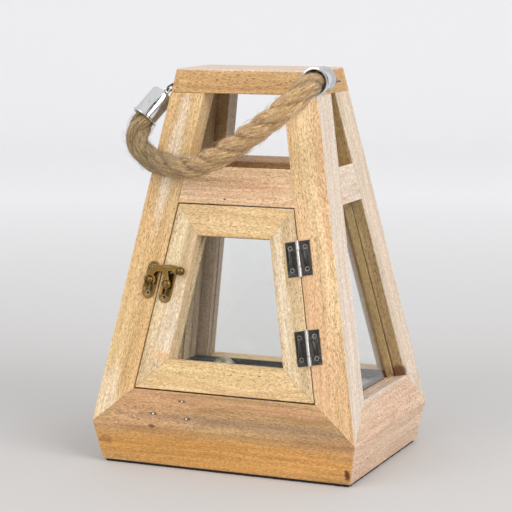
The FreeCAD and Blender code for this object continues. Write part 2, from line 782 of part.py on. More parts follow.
def make_latch_arm():
    """A flat casting: a hook for the post, an arch, a ball to lift it by and a stem to its rivet."""
    thick = size("latch_arm_thick")
    half_wide = size("latch_arm_wide") / 2
    ball = Vector(size("latch_ball_across"), size("latch_ball_up"), latch_low)
    arch = Part.Face(arm_path(ball).makeOffset2D(half_wide)).extrude(Vector(0, 0, thick))
    stem = Part.makeBox(2 * half_wide, size("latch_stem_long"), thick, Vector(-half_wide, 0, latch_low))
    stem.rotate(Vector(0, 0, 0), Vector(0, 0, 1), size("latch_stem_lean"))
    boss = Part.makeCylinder(size("latch_boss_radius"), thick, Vector(0, 0, latch_low))
    post = Vector(-latch_reach, 0, latch_low)
    hole = size("keeper_radius") + size("keeper_slack")
    hook = Part.makeCylinder(hole + size("keeper_hook_wall"), thick, post)
    ball.z = max(latch_low + thick / 2, size("latch_ball_radius") + size("latch_lift"))
    arm = arch.fuse([stem, boss, hook, Part.makeSphere(size("latch_ball_radius"), ball)]).removeSplitter()
    arm = arm.cut(Part.makeCylinder(size("rivet_radius") + size("hinge_fit"), 4 * thick))
    arm = arm.cut(Part.makeCylinder(hole, thick, post))
    # The hook opens along the way that the post leaves it, which is an arc about the pivot.
    way = Part.makeCylinder(latch_reach + hole, thick, Vector(0, 0, latch_low), Vector(0, 0, 1), 90)
    way = way.cut(Part.makeCylinder(latch_reach - hole, thick, Vector(0, 0, latch_low)))
    way.rotate(Vector(0, 0, 0), Vector(0, 0, 1), 180)
    return arm.cut(way)


def make_pivot():
    """A rivet that stands on its plate, with a domed head over the arm."""
    foot = size("latch_plate_thick")
    under = latch_top + 2 * size("hinge_fit")
    post = Part.makeCylinder(size("rivet_radius"), under - foot, Vector(0, 0, foot))
    head = dome(size("rivet_head_radius"), size("rivet_head_high"))
    head.translate(Vector(0, 0, under))
    return post.fuse(head).removeSplitter()


def make_post():
    """A stout post with a domed end, which the arm's hook drops over."""
    foot = size("latch_plate_thick")
    post = Part.makeCylinder(size("keeper_radius"), latch_top - foot, Vector(0, 0, foot))
    end = dome(size("keeper_radius"), size("rivet_head_high"))
    end.translate(Vector(0, 0, latch_top))
    return post.fuse(end).removeSplitter()


group("latch_arm", [moved(make_latch_arm(), pivot_frame)])
group("latch_pivot", [moved(make_pivot(), pivot_frame)])
group("latch_post", [moved(make_post(), post_frame)])


# ---------------------------------------------------------------- buttons on the floor plate
button_x = value(PLATE_HALF_X) - size("button_inset")
button_y = value(PLATE_HALF_Y) - size("button_inset_deep")
button = dome(size("button_radius"), size("button_high"))
group("floor_buttons", [
    moved(button, FreeCAD.Placement(Vector(side * button_x, end * button_y, value(FLOOR_TOP)), Rotation()))
    for side in (1, -1) for end in (1, -1)])


# ---------------------------------------------------------------- rope handle
# The rope's route, chosen by hand: from inside the left cap to inside the right one.
LEFT_MOUTH = Vector(-82.9, -34.0, 263.4)
LEFT_CAP_BACK = Vector(-70.8, -22.0, 281.2)
RIGHT_MOUTH = Vector(73.0, -70.5, 296.0)
RIGHT_CAP_BACK = Vector(71.0, -46.0, 296.5)
ROPE_BENDS = [
    Vector(-87.3, -38.4, 256.9),
    Vector(-80.8, -48.2, 241.8),
    Vector(-65.5, -55.5, 232.8),
    Vector(-43.0, -61.5, 228.6),
    Vector(-10.0, -73.0, 234.5),
    Vector(23.0, -84.5, 253.4),
    Vector(47.5, -93.0, 269.0),
    Vector(67.0, -94.3, 283.3),
    Vector(73.8, -80.3, 295.8),
]


def direction(start, end):
    return (end - start).normalize()


def rounded_path(points, share):
    """Straight runs joined by tangent arcs, each as large as its two runs allow."""
    edges = []
    start = points[0]
    for before, corner, after in zip(points, points[1:], points[2:]):
        into = direction(before, corner)
        out = direction(corner, after)
        turn = into.getAngle(out)
        reach = share * min((corner - before).Length, (after - corner).Length)
        radius = reach / math.tan(turn / 2)
        print(f"rope bend {math.degrees(turn):.0f} degrees, radius {radius:.1f}")
        arc_start = corner - reach * into
        arc_end = corner + reach * out
        inward = direction(corner, (arc_start + arc_end) / 2)
        middle = corner + inward * (math.hypot(reach, radius) - radius)
        edges.append(Part.LineSegment(start, arc_start).toShape())
        edges.append(Part.Arc(arc_start, middle, arc_end).toShape())
        start = arc_end
    edges.append(Part.LineSegment(start, points[-1]).toShape())
    return Part.Wire(edges)


def make_rope():
    in_cap = size("cap_long") - size("cap_end_thick") - size("rope_end_slack")
    left_end = LEFT_MOUTH + in_cap * direction(LEFT_MOUTH, LEFT_CAP_BACK)
    right_end = RIGHT_MOUTH + in_cap * direction(RIGHT_MOUTH, RIGHT_CAP_BACK)
    path = rounded_path([left_end, *ROPE_BENDS, right_end], 0.45)
    start = direction(left_end, ROPE_BENDS[0])
    section = Part.Wire(Part.makeCircle(size("rope_radius"), left_end, start))
    rope = path.makePipeShell([section], True, False)
    print(f"rope {path.Length:.1f} long, volume ratio "
          f"{rope.Volume / (math.pi * size('rope_radius') ** 2 * path.Length):.4f}")
    return rope


group("rope", [make_rope()])


def cap_placement(mouth, back):
    return FreeCAD.Placement(mouth, Rotation(Vector(0, 0, 1), back - mouth))


def make_cap():
    """A spun cup with a flared rim at its mouth (z = 0) and a wire loop on its closed end."""
    bore = size("rope_radius") + size("cap_bore_slack")
    wall = size("cap_wall")
    outer = bore + wall
    long = size("cap_long")
    rim = size("cap_rim")
    deep = long - size("cap_end_thick")
    shoulder = 2.5
    cup = turned([(bore, 0), (bore, deep), (0, deep), (0, long),
                  (outer - shoulder, long), (outer - 0.3 * shoulder, long - 0.3 * shoulder),
                  (outer, long - shoulder), (outer, 2 * rim), (outer + rim, rim), (outer + rim, 0.4), (outer, 0)])
    loop = Part.makeTorus(size("eye_radius"), size("wire_radius"), Vector(0, 0, 0), Vector(0, 1, 0))
    loop.translate(Vector(0, 0, long + size("eye_radius") - size("wire_radius") / 2))
    return cup.fuse(loop).removeSplitter()


HOOK_DEPTH = size("wire_radius") + size("link_slack") / 2       # a ring's wire to where a link pulls on it
CAP_HOOK = size("cap_long") + 2 * size("eye_radius") - size("wire_radius") / 2 - HOOK_DEPTH


def make_eye(side, toward):
    """An eye with its shank in the top board, and its ring in line with the chain."""
    ring = size("eye_radius")
    wire = size("wire_radius")
    off = size("eye_stand_off")
    shank = Part.makeCylinder(size("eye_shank_radius"), size("eye_shank_long"), Vector(-size("eye_shank_long"), 0, 0),
                              Vector(1, 0, 0))
    neck = Part.makeCylinder(wire, off - ring, Vector(0, 0, 0), Vector(1, 0, 0))
    loop = Part.makeTorus(ring, wire, Vector(off, 0, 0), Vector(0, 0, 1))
    eye = loop.fuse([shank, neck]).removeSplitter()
    across = Vector(side, 0, 0)
    pull = Vector(0, toward.y, toward.z).normalize()
    turn = Rotation(across, pull, across.cross(pull), "XYZ")
    face = value(EYE_FACE)
    return moved(eye, FreeCAD.Placement(Vector(side * face, 0, value(EYE_Z)), turn)), pull


def make_link(half_long):
    """A chain link: two half rounds and two straight sides, along its own X axis."""
    half_wide = size("link_half_wide")
    straight = half_long - half_wide
    corners = [Vector(straight, half_wide, 0), Vector(-straight, half_wide, 0), Vector(-half_long, 0, 0),
               Vector(-straight, -half_wide, 0), Vector(straight, -half_wide, 0), Vector(half_long, 0, 0)]
    wire = Part.Wire([
        Part.LineSegment(corners[0], corners[1]).toShape(),
        Part.Arc(corners[1], corners[2], corners[3]).toShape(),
        Part.LineSegment(corners[3], corners[4]).toShape(),
        Part.Arc(corners[4], corners[5], corners[0]).toShape(),
    ])
    section = Part.Wire(Part.makeCircle(size("wire_radius"), corners[0], Vector(-1, 0, 0)))
    return wire.makePipeShell([section], True, False)


def make_chain(start, end, first_normal):
    """Links from one hook point to the other, each turned a quarter from the last."""
    run = (end - start).Length
    count = max(1, round(run / size("link_pitch")))
    pitch = run / count
    link = make_link(pitch / 2 + HOOK_DEPTH)
    along = direction(start, end)
    normal = (first_normal - along * first_normal.dot(along)).normalize()
    links = []
    for index in range(count):
        centre = start + along * (pitch * (index + 0.5))
        links.append(moved(link, FreeCAD.Placement(centre, Rotation(along, normal.cross(along), normal, "XYZ"))))
        normal = along.cross(normal)
    return links


HANDLE_ENDS = {"left": (-1, LEFT_MOUTH, LEFT_CAP_BACK), "right": (1, RIGHT_MOUTH, RIGHT_CAP_BACK)}
for name, (side, mouth, back) in HANDLE_ENDS.items():
    cap_axis = direction(mouth, back)
    hook = mouth + cap_axis * CAP_HOOK
    eye_centre = Vector(side * (value(EYE_FACE) + size("eye_stand_off")), 0, value(EYE_Z))
    eye, pull = make_eye(side, hook - eye_centre)
    group(f"{name}_eye", [eye])
    eye_hook = eye_centre + pull * (size("eye_radius") - HOOK_DEPTH)
    links = make_chain(eye_hook, hook, Vector(1, 0, 0))
    group(f"{name}_chain", links)
    cap = make_cap()
    # The cap's loop stands square to the last link, so that the two hook into each other.
    last_normal = links[-1].Placement.Rotation.multVec(Vector(0, 0, 1))
    loop_normal = cap_axis.cross(last_normal).normalize()
    group(f"{name}_cap", [moved(cap, FreeCAD.Placement(
        mouth, Rotation(loop_normal.cross(cap_axis), loop_normal, cap_axis, "ZXY")))])
    print(f"{name} chain of {len(links)} links")

# ---------------------------------------------------------------- check and write
doc.recompute()
HELPERS = ("Plate", "Knuckle", "Curl", "Blank", "Bore", "Countersink", "Tool")
nodes = [item for item in doc.Objects
         if item.TypeId in ("PartDesign::Body", "Part::Feature", "Part::Cut")
         and item.Label.rstrip("0123456789") not in HELPERS]
for item in doc.Objects:
    if "Invalid" in item.State or "Error" in item.State:
        raise RuntimeError(f"{item.Name} failed: {item.State}")
for item in nodes:
    if item.Shape.isNull() or not item.Shape.isValid():
        raise RuntimeError(f"{item.Label} has no valid shape")

os.makedirs("parts", exist_ok=True)
for item in nodes:
    item.Shape.exportStep(f"parts/{item.Label}.step")
print(f"{len(nodes)} nodes, {sum(len(item.Shape.Solids) for item in nodes)} solids")
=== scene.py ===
# %% [markdown]
# # A wooden candle lantern
#
# The real lantern is a leaning frame of mango wood with a glazed door, panes on all four
# sides, a dark tray for a candle and a thick rope to carry it by. The construction model
# already holds every board and fitting at its true place and size, so this file only
# dresses it: soft edges, a laid rope, and finishes with the detail of the real materials.
# Everything is in metres, and the origin is the middle of the lantern's underside.

import json
import math
import random

import bmesh
import bpy
from mathutils import Matrix, Vector, noise
from mathutils.bvhtree import BVHTree


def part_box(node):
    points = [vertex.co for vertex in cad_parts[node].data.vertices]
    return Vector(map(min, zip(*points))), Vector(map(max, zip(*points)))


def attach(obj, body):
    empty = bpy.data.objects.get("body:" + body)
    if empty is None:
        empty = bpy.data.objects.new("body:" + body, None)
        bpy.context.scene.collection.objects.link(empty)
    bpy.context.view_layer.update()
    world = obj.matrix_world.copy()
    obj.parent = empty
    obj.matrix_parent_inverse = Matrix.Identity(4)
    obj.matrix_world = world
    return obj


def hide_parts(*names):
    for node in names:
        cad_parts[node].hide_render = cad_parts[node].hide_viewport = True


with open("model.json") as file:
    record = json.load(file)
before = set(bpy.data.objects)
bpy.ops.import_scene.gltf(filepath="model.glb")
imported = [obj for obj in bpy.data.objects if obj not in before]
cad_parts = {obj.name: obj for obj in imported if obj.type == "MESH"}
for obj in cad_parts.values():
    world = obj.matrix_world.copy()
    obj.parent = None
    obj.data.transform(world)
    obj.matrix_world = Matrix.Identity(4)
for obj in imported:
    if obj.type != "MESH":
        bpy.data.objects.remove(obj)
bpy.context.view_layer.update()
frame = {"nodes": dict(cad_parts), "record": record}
nodes = frame["nodes"]
print("pieces in the model:", len(nodes))

# %% [markdown]
# ## The camera
#
# A long lens from a little right of the door and a little above the lantern. The camera's
# three directions are written out, because the photograph leans very slightly and a
# look-at helper would straighten it.

# %% Camera
CAMERA_PLACE = Vector((0.5855, -1.3411, 0.3871))
CAMERA_RIGHT = Vector((0.91578308, 0.40160915, -0.00717259))
CAMERA_UP = Vector((-0.05632028, 0.14606568, 0.98767041))
FOCAL_IN_PICTURE_WIDTHS = 1909.7 / 512
SENSOR_MM = 36


def link(name, data):
    """A new object in the scene that holds the given mesh, curve, lamp or lens."""
    holder = bpy.data.objects.new(name, data)
    bpy.context.scene.collection.objects.link(holder)
    return holder


camera_back = CAMERA_RIGHT.cross(CAMERA_UP)
turn = Matrix((CAMERA_RIGHT, CAMERA_UP, camera_back)).transposed()
lens = bpy.data.cameras.new("camera")
lens.sensor_width = SENSOR_MM
lens.lens = FOCAL_IN_PICTURE_WIDTHS * SENSOR_MM
camera = link("camera", lens)
camera.matrix_world = Matrix.Translation(CAMERA_PLACE) @ turn.to_4x4()
bpy.context.scene.camera = camera
bpy.context.scene.view_settings.view_transform = "Standard"
print(f"lens {lens.lens:.0f} mm")

# %% [markdown]
# ## Helpers for pieces
#
# Most pieces start as a copy of their solid in the model, so they stay where they belong.
# A piece rides on the body that carries it and stands for the solid it replaces.

# %% Putting a piece into the scene
def show(name, mesh, body, slot, *stands_for):
    """Link a mesh as a named piece that rides on a body and stands for some solids."""
    return settle(link(name, mesh), body, slot, *stands_for)


def settle(piece, body, slot, *stands_for):
    """Say which body a piece rides on and which solids it stands for; the slot is not used."""
    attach(piece, body)
    if stands_for:
        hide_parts(*stands_for)
    return piece


BODY_OF = {name: body
           for body, members in frame["record"]["behaviour"]["bodies"].items()
           for name in members}
print("bodies:", sorted(set(BODY_OF.values())))

# %% [markdown]
# ## The rope's route
#
# The handle is a short piece of thick three-strand jute rope. Its line is one smooth curve
# through the air between the two caps. A NURBS spline suits that: it needs few points and
# passes smoothly near them. The curve itself is not kept: the strands are laid along points
# read from it.

# %% The rope's smooth line
ROPE_RADIUS = 0.0088
LEFT_MOUTH = Vector((-0.0829, -0.0340, 0.2634))
LEFT_CAP_BACK = Vector((-0.0708, -0.0220, 0.2812))
RIGHT_MOUTH = Vector((0.0730, -0.0705, 0.2960))
RIGHT_CAP_BACK = Vector((0.0710, -0.0460, 0.2965))
ROPE_IN_CAP = 0.0238
CURVE_STEPS = 24
ROPE_BENDS = [
    (-0.0873, -0.0384, 0.2569),
    (-0.0808, -0.0482, 0.2418),
    (-0.0655, -0.0555, 0.2328),
    (-0.0430, -0.0615, 0.2286),
    (-0.0100, -0.0730, 0.2345),
    (0.0230, -0.0845, 0.2534),
    (0.0475, -0.0930, 0.2690),
    (0.0670, -0.0943, 0.2833),
    (0.0738, -0.0803, 0.2958),
]


def inside_cap(mouth, back):
    """Where the rope's end stops, on the cap's own line."""
    return mouth + ROPE_IN_CAP * (back - mouth).normalized()


route = [inside_cap(LEFT_MOUTH, LEFT_CAP_BACK), *map(Vector, ROPE_BENDS),
         inside_cap(RIGHT_MOUTH, RIGHT_CAP_BACK)]
line = bpy.data.curves.new("rope_line", "CURVE")
line.dimensions = "3D"
spline = line.splines.new("NURBS")
spline.points.add(len(route) - 1)
for point, place in zip(spline.points, route):
    point.co = (*place, 1)
spline.order_u = 3
spline.use_endpoint_u = True
spline.resolution_u = CURVE_STEPS
line_holder = link("rope_line", line)
line_mesh = bpy.data.meshes.new_from_object(line_holder)
rope_line = [vertex.co.copy() for vertex in line_mesh.vertices]
bpy.data.objects.remove(line_holder)
bpy.data.meshes.remove(line_mesh)
rope_length = sum((b - a).length for a, b in zip(rope_line, rope_line[1:]))
print(f"rope {rope_length * 1000:.1f} mm long")

# %% [markdown]
# ## Laying the rope
#
# A right-laid rope is three strands twisted round each other, each strand itself a bundle
# of yarns twisted the other way, so the yarns end up nearly in line with the rope. A bump on
# one plain tube would leave its outline straight, so each strand is a tube of its own, whose
# surface ripples once for every yarn. Every point of the tube also remembers where it would
# lie if the strand were straight and untwisted. The finish uses that to run its fibres along
# the yarns.

# %% Evenly spaced stations along the rope
STATIONS = 330
ROPE_LAY = 0.061
STRAND_OFFSET = 0.36 * ROPE_RADIUS
STRAND_RADIUS = 0.65 * ROPE_RADIUS
YARNS = 13
YARN_LAY = 0.062
YARN_DEPTH = 0.10
AROUND = 78


def along_line(points, count):
    """Evenly spaced points along a polyline, with their distances."""
    reach = [0.0]
    for a, b in zip(points, points[1:]):
        reach.append(reach[-1] + (b - a).length)
    found, leg = [], 0
    for i in range(count):
        want = reach[-1] * i / (count - 1)
        while leg < len(points) - 2 and reach[leg + 1] < want:
            leg += 1
        part = (want - reach[leg]) / (reach[leg + 1] - reach[leg])
        found.append((points[leg].lerp(points[leg + 1], min(part, 1)), want))
    return found


def twist_free_frames(points):
    """For each point its direction and two cross directions that don't twist along the way."""
    frames = []
    side = None
    for i in range(len(points)):
        ahead = (points[min(i + 1, len(points) - 1)] - points[max(i - 1, 0)]).normalized()
        side = (ahead.orthogonal() if side is None else side - side.dot(ahead) * ahead).normalized()
        frames.append((ahead, side, ahead.cross(side)))
    return frames


stations = along_line(rope_line, STATIONS)
rope_frames = twist_free_frames([place for place, _ in stations])
print("stations", len(stations))

# %% One strand
STRANDS = 3
STRANDS_APART = 0.02
GRIPPED = 0.90
GRIP_REACH = 0.020
GRIP_EASES_OVER = 0.012


def squeeze(distance):
    """The caps grip the rope, so it is a little thinner inside them."""
    from_end = min(distance, rope_length - distance)
    return GRIPPED + (1 - GRIPPED) * min(1, max(0, (from_end - GRIP_REACH) / GRIP_EASES_OVER))


def strand_centre(i, turn_start):
    """The middle of a strand at a station, on its helix round the rope's line."""
    place, distance = stations[i]
    _, side, other = rope_frames[i]
    angle = turn_start + 2 * math.pi * distance / ROPE_LAY
    offset = STRAND_OFFSET * squeeze(distance)
    return place + offset * (math.cos(angle) * side + math.sin(angle) * other)


def yarn_ripple(angle, distance, number):
    """How far the surface stands out, from the yarns' round backs and their uneven thickness."""
    phase = angle + 2 * math.pi * distance / YARN_LAY
    back = abs(math.cos(YARNS * phase / 2))
    yarn = math.floor(YARNS * phase / (2 * math.pi) + 0.5) % YARNS
    thick = noise.noise(Vector((distance * 55, yarn * 7.3, number * 13.1)))
    rough = noise.noise(Vector((distance * 700, phase * 9, number * 5.7)))
    matted = noise.noise(Vector((distance * 260, phase * 3.5, number * 3.1)))
    return 1 - YARN_DEPTH + YARN_DEPTH * back ** 0.7 + 0.04 * thick + 0.035 * rough + 0.04 * matted


def lay_strand(number):
    """Rings of the strand's points, what each remembers, and how deep it lies in the rope."""
    centres = [strand_centre(i, number * 2 * math.pi / STRANDS) for i in range(STATIONS)]
    rings, straight, depth = [], [], []
    for i, (ahead, side, other) in enumerate(twist_free_frames(centres)):
        place, distance = stations[i]
        out = (centres[i] - place).normalized()
        out = (out - out.dot(ahead) * ahead).normalized()
        over = ahead.cross(out)
        for k in range(AROUND):
            angle = 2 * math.pi * k / AROUND
            ripple = yarn_ripple(angle, distance, number)
            reach = STRAND_RADIUS * squeeze(distance) * ripple
            point = centres[i] + reach * (math.cos(angle) * out + math.sin(angle) * over)
            rings.append(point)
            phase = angle + 2 * math.pi * distance / YARN_LAY
            straight.append((distance, STRAND_RADIUS * math.cos(phase) + number * STRANDS_APART,
                             STRAND_RADIUS * math.sin(phase)))
            depth.append(((point - place).length / ROPE_RADIUS, ripple, distance / rope_length))
    return rings, straight, depth


strands = [lay_strand(number) for number in range(STRANDS)]
print("points in a strand", len(strands[0][0]))

# %% [markdown]
# Jute is hairy: short fibres come loose all along it. Hair particles would not be exported as
# a mesh, so each fibre is a thin three-sided thread that starts on a strand, lifts off and
# curls back.

# %% Loose fibres
FIBRES = 2600
FIBRE_RADIUS = 0.00008
FIBRE_STEPS = 6
FIBRE_SIDES = 3
FIBRE_STANDS_OUT = 0.0021
BARE_STATIONS = 12
dice = random.Random(11)


def loose_fibre():
    """The points of one fibre, from its root on a strand."""
    number = dice.randrange(STRANDS)
    rings = strands[number][0]
    i = dice.randrange(BARE_STATIONS, STATIONS - BARE_STATIONS)
    k = dice.randrange(-AROUND // 4, AROUND // 4) % AROUND
    place, distance = stations[i]
    root = rings[i * AROUND + k]
    ahead = rope_frames[i][0]
    out = (root - place).normalized()
    along = ahead * dice.choice((-1, 1))
    sideways = ahead.cross(out) * dice.uniform(-0.7, 0.7)
    long = dice.uniform(0.003, 0.010)
    steep = dice.uniform(0.15, 0.9)
    close = 0.25 if dice.random() < 0.6 else 0.55
    lift = min(steep * close, FIBRE_STANDS_OUT / long)
    curl = dice.uniform(-0.6, 1.0)
    points = []
    for step in range(FIBRE_STEPS + 1):
        part = step / FIBRE_STEPS
        points.append(root + long * (part * (along + sideways)
                                     + lift * math.sin(part * 2.2) * out
                                     + 0.12 * curl * part * part * ahead.cross(out)))
    return points, distance, number


fibres = [loose_fibre() for _ in range(FIBRES)]
print("loose fibres", len(fibres))

# %% The rope as one mesh
def new_mesh(name, verts, faces):
    mesh = bpy.data.meshes.new(name)
    mesh.from_pydata(verts, [], faces)
    return mesh


def fill_rope_mesh():
    """The strands and the fibres in one mesh, with what each point remembers."""
    verts, faces, straight, depth = [], [], [], []
    for rings, where, deep in strands:
        start = len(verts)
        verts += rings
        straight += where
        depth += deep
        for i in range(STATIONS - 1):
            for k in range(AROUND):
                a = start + i * AROUND + k
                b = start + i * AROUND + (k + 1) % AROUND
                faces.append((a, b, b + AROUND, a + AROUND))
        last_ring = (STATIONS - 1) * AROUND
        faces.append([start + k for k in reversed(range(AROUND))])
        faces.append([start + last_ring + k for k in range(AROUND)])
    for points, distance, number in fibres:
        start = len(verts)
        for step, ((_, side, other), point) in enumerate(zip(twist_free_frames(points), points)):
            thick = FIBRE_RADIUS * (1 - 0.6 * step / FIBRE_STEPS)
            for k in range(FIBRE_SIDES):
                angle = 2 * math.pi * k / FIBRE_SIDES
                verts.append(point + thick * (math.cos(angle) * side + math.sin(angle) * other))
                straight.append((distance, number * STRANDS_APART, 0.03))
                depth.append((1.05, 1.0, distance / rope_length))
        for step in range(FIBRE_STEPS):
            ring = start + FIBRE_SIDES * step
            for k in range(FIBRE_SIDES):
                a, b = ring + k, ring + (k + 1) % FIBRE_SIDES
                faces.append((a, b, b + FIBRE_SIDES, a + FIBRE_SIDES))
        faces.append([start + k for k in reversed(range(FIBRE_SIDES))])
        faces.append([start + FIBRE_SIDES * FIBRE_STEPS + k for k in range(FIBRE_SIDES)])
    mesh = new_mesh("laid_rope", verts, faces)
    for name, values in (("straight_strand", straight), ("rope_depth", depth)):
        layer = mesh.attributes.new(name, "FLOAT_VECTOR", "POINT")
        layer.data.foreach_set("vector", [number for value in values for number in value])
    mesh.shade_smooth()
    return mesh


rope = show("laid_rope", fill_rope_mesh(), "carrying_handle", "jute_rope", "rope")
print("rope mesh points", len(rope.data.vertices))

# %% [markdown]
# ## Helpers for finishes
#
# Every finish is a small tree of nodes. These helpers add a node with its settings in one
# line, and make a node group with named inputs and outputs, so that an effect which many
# finishes share is built only once. Colours are written as a screen shows them.

# %% Node helpers
def fill(tree, socket, given):
    """Link an input to another node's output, or set its value."""
    if isinstance(given, bpy.types.NodeSocket):
        tree.links.new(given, socket)
    else:
        socket.default_value = given


def add(tree, kind, inputs=None, **settings):
    """Add a node, set its properties, and fill its inputs with values or links."""
    node = tree.nodes.new("ShaderNode" + kind)
    for name, setting in settings.items():
        setattr(node, name, setting)
    for name, given in (inputs or {}).items():
        fill(tree, node.inputs[name], given)
    return node


def calc(tree, operation, first, second=0.0):
    """One sum on one or two values."""
    return add(tree, "Math", {0: first, 1: second}, operation=operation).outputs[0]


def calc_vector(tree, operation, first, second=(0, 0, 0)):
    """One sum on vectors, which gives a vector or, for a length or a dot product, a number."""
    node = add(tree, "VectorMath", {0: first, 1: second}, operation=operation)
    return node.outputs["Value" if operation in ("LENGTH", "DOT_PRODUCT") else "Vector"]


def spread(tree, value, low, high, out_low=0.0, out_high=1.0):
    """Stretch a value from one range to another, and stop at its ends."""
    return add(tree, "MapRange", {"Value": value, "From Min": low, "From Max": high,
                                  "To Min": out_low, "To Max": out_high}).outputs[0]


def mix(tree, share, first, second, blend="MIX"):
    """Mix two colours. The numbers are the colour sockets of Blender's Mix node."""
    colours = {0: share, 6: first, 7: second}
    return add(tree, "Mix", colours, data_type="RGBA", blend_type=blend).outputs[2]


def stretched_noise(tree, place, stretch, **inputs):
    """Noise whose spots are drawn out along the axes: a high number makes them narrow."""
    scaled = calc_vector(tree, "MULTIPLY", place, stretch)
    return add(tree, "TexNoise", {"Vector": scaled, "Scale": 1.0, **inputs}).outputs["Fac"]


print("node helpers ready")

# %% Colour helpers
def light_value(shade):
    """A screen's 0 to 255 turned into the amount of light that shaders use."""
    return shade / 255 / 12.92 if shade <= 10 else ((shade / 255 + 0.055) / 1.055) ** 2.4


def colour(red, green, blue):
    """A colour as a screen shows it, each part from 0 to 255."""
    return light_value(red), light_value(green), light_value(blue), 1


def warm_grey(tree, shade, green_power, blue_power):
    """A grey to multiply a colour by, whose dark parts also turn warmer."""
    green = calc(tree, "POWER", shade, green_power)
    blue = calc(tree, "POWER", shade, blue_power)
    return add(tree, "CombineColor", {"Red": shade, "Green": green, "Blue": blue}).outputs[0]


print("white is", colour(255, 255, 255))

# %% Group and material helpers
KINDS = {"number": "NodeSocketFloat", "vector": "NodeSocketVector", "colour": "NodeSocketColor"}


def new_group(name, takes, gives):
    """An empty node group with its sockets, its input node and its output node."""
    group = bpy.data.node_groups.new(name, "ShaderNodeTree")
    for socket, kind in takes.items():
        group.interface.new_socket(socket, in_out="INPUT", socket_type=KINDS[kind])
    for socket, kind in gives.items():
        group.interface.new_socket(socket, in_out="OUTPUT", socket_type=KINDS[kind])
    return group, group.nodes.new("NodeGroupInput"), group.nodes.new("NodeGroupOutput")


def use_group(tree, group, inputs):
    return add(tree, "Group", inputs, node_tree=group).outputs


def new_finish(name):
    """A material with an empty tree, its shader and the place on the piece."""
    finish = bpy.data.materials.new(name)
    finish.use_nodes = True
    tree = finish.node_tree
    shader = tree.nodes["Principled BSDF"]
    place = add(tree, "TexCoord").outputs["Object"]
    return finish, tree, shader, place


def feed(tree, shader, **sockets):
    """Set or link the shader's sockets, with underscores for spaces."""
    for name, given in sockets.items():
        fill(tree, shader.inputs[name.replace("_", " ")], given)


def bump(tree, height, distance, strength):
    relief = {"Height": height, "Distance": distance, "Strength": strength}
    return add(tree, "Bump", relief).outputs[0]


def put_on(pieces, finish):
    for piece in pieces:
        piece.data.materials.clear()
        piece.data.materials.append(finish)


print("socket kinds:", ", ".join(KINDS))

# %% [markdown]
# ## Worn edges with painted highlight
#
# Handling rubs the edges of wood and metal alike, and on the wood the paler edges also stand
# in for the highlight that a rounded edge catches: painted highlight. A Bevel node looks at the
# surface a millimetre around each point: where its normal differs from the surface's own, there
# is an edge. The group turns that into a mask, broken up by noise.

# %% Group: worn edges with painted highlight
wear_and_highlight_edges, taken, given = new_group(
    "wear_and_highlight_edges", {"Place": "vector", "Reach": "number", "Break up": "number"}, {"Wear_and_highlight": "number"})
soft = add(wear_and_highlight_edges, "Bevel", {"Radius": taken.outputs["Reach"]}, samples=4).outputs[0]
hard = add(wear_and_highlight_edges, "NewGeometry").outputs["Normal"]
same = calc_vector(wear_and_highlight_edges, "DOT_PRODUCT", soft, hard)
edge = spread(wear_and_highlight_edges, same, 0.995, 0.80)
patches = stretched_noise(wear_and_highlight_edges, taken.outputs["Place"], (90, 90, 90), Detail=3.0)
spared = calc(wear_and_highlight_edges, "MULTIPLY", spread(wear_and_highlight_edges, patches, 0.35, 0.6),
              taken.outputs["Break up"])
kept = calc(wear_and_highlight_edges, "SUBTRACT", 1.0, spared)
wear_and_highlight_edges.links.new(calc(wear_and_highlight_edges, "MULTIPLY", edge, kept), given.inputs["Wear_and_highlight"])
print("wear_and_highlight_edges has", len(wear_and_highlight_edges.nodes), "nodes")

# %% [markdown]
# ## Mango wood
#
# Mango is a plain, warm wood with broad streaks of yellow, brown and pink, faint growth
# lines, and open pores that show as short dark dashes along the grain. Pictures of wood would
# repeat from board to board, so the group stacks noises instead. Each is drawn out along X,
# because each board's own X axis runs with its grain.

# %% Group: mango wood
mango, taken, given = new_group(
    "mango_wood",
    {"Board": "vector", "Pale": "colour", "Deep": "colour", "Blush": "colour",
     "Figure": "number", "Pores": "number"},
    {"Colour": "colour", "Shade": "colour", "Roughness": "number", "Height": "number"})
board_place = taken.outputs["Board"]
wander = calc(mango, "SUBTRACT", stretched_noise(mango, board_place, (7, 19, 19), Detail=2.0), 0.5)
sway = calc(mango, "MULTIPLY", wander, 0.022)
aside = add(mango, "CombineXYZ", {"Y": sway, "Z": sway}).outputs[0]
swayed = calc_vector(mango, "ADD", board_place, aside)
streaks = stretched_noise(mango, swayed, (3.6, 75, 75), Detail=4.0, Roughness=0.6)
streaks = spread(mango, streaks, 0.38, 0.62)
blush = spread(mango, stretched_noise(mango, swayed, (5, 27, 27), Detail=1.0), 0.44, 0.68)
lines = stretched_noise(mango, swayed, (8, 330, 330), Detail=4.0, Roughness=0.6)
hairs = stretched_noise(mango, swayed, (130, 1900, 1900), Detail=2.0)
speckle = stretched_noise(mango, swayed, (460, 1250, 1250), Detail=3.0, Roughness=0.7)
dashes = stretched_noise(mango, swayed, (300, 1600, 1600), Detail=1.0)
porous = stretched_noise(mango, swayed, (6, 55, 55), Detail=1.0)
porous = spread(mango, porous, 0.35, 0.6, 0.35, 1.0)
pores = calc(mango, "MULTIPLY", spread(mango, dashes, 0.59, 0.67), porous)
figure = calc(mango, "MULTIPLY", streaks, taken.outputs["Figure"])
tone = mix(mango, figure, taken.outputs["Pale"], taken.outputs["Deep"])
tone = mix(mango, calc(mango, "MULTIPLY", blush, 0.55), tone, taken.outputs["Blush"])
shade = spread(mango, lines, 0.3, 0.7, 0.80, 1.13)
shade = calc(mango, "MULTIPLY", shade, spread(mango, hairs, 0.3, 0.7, 0.92, 1.07))
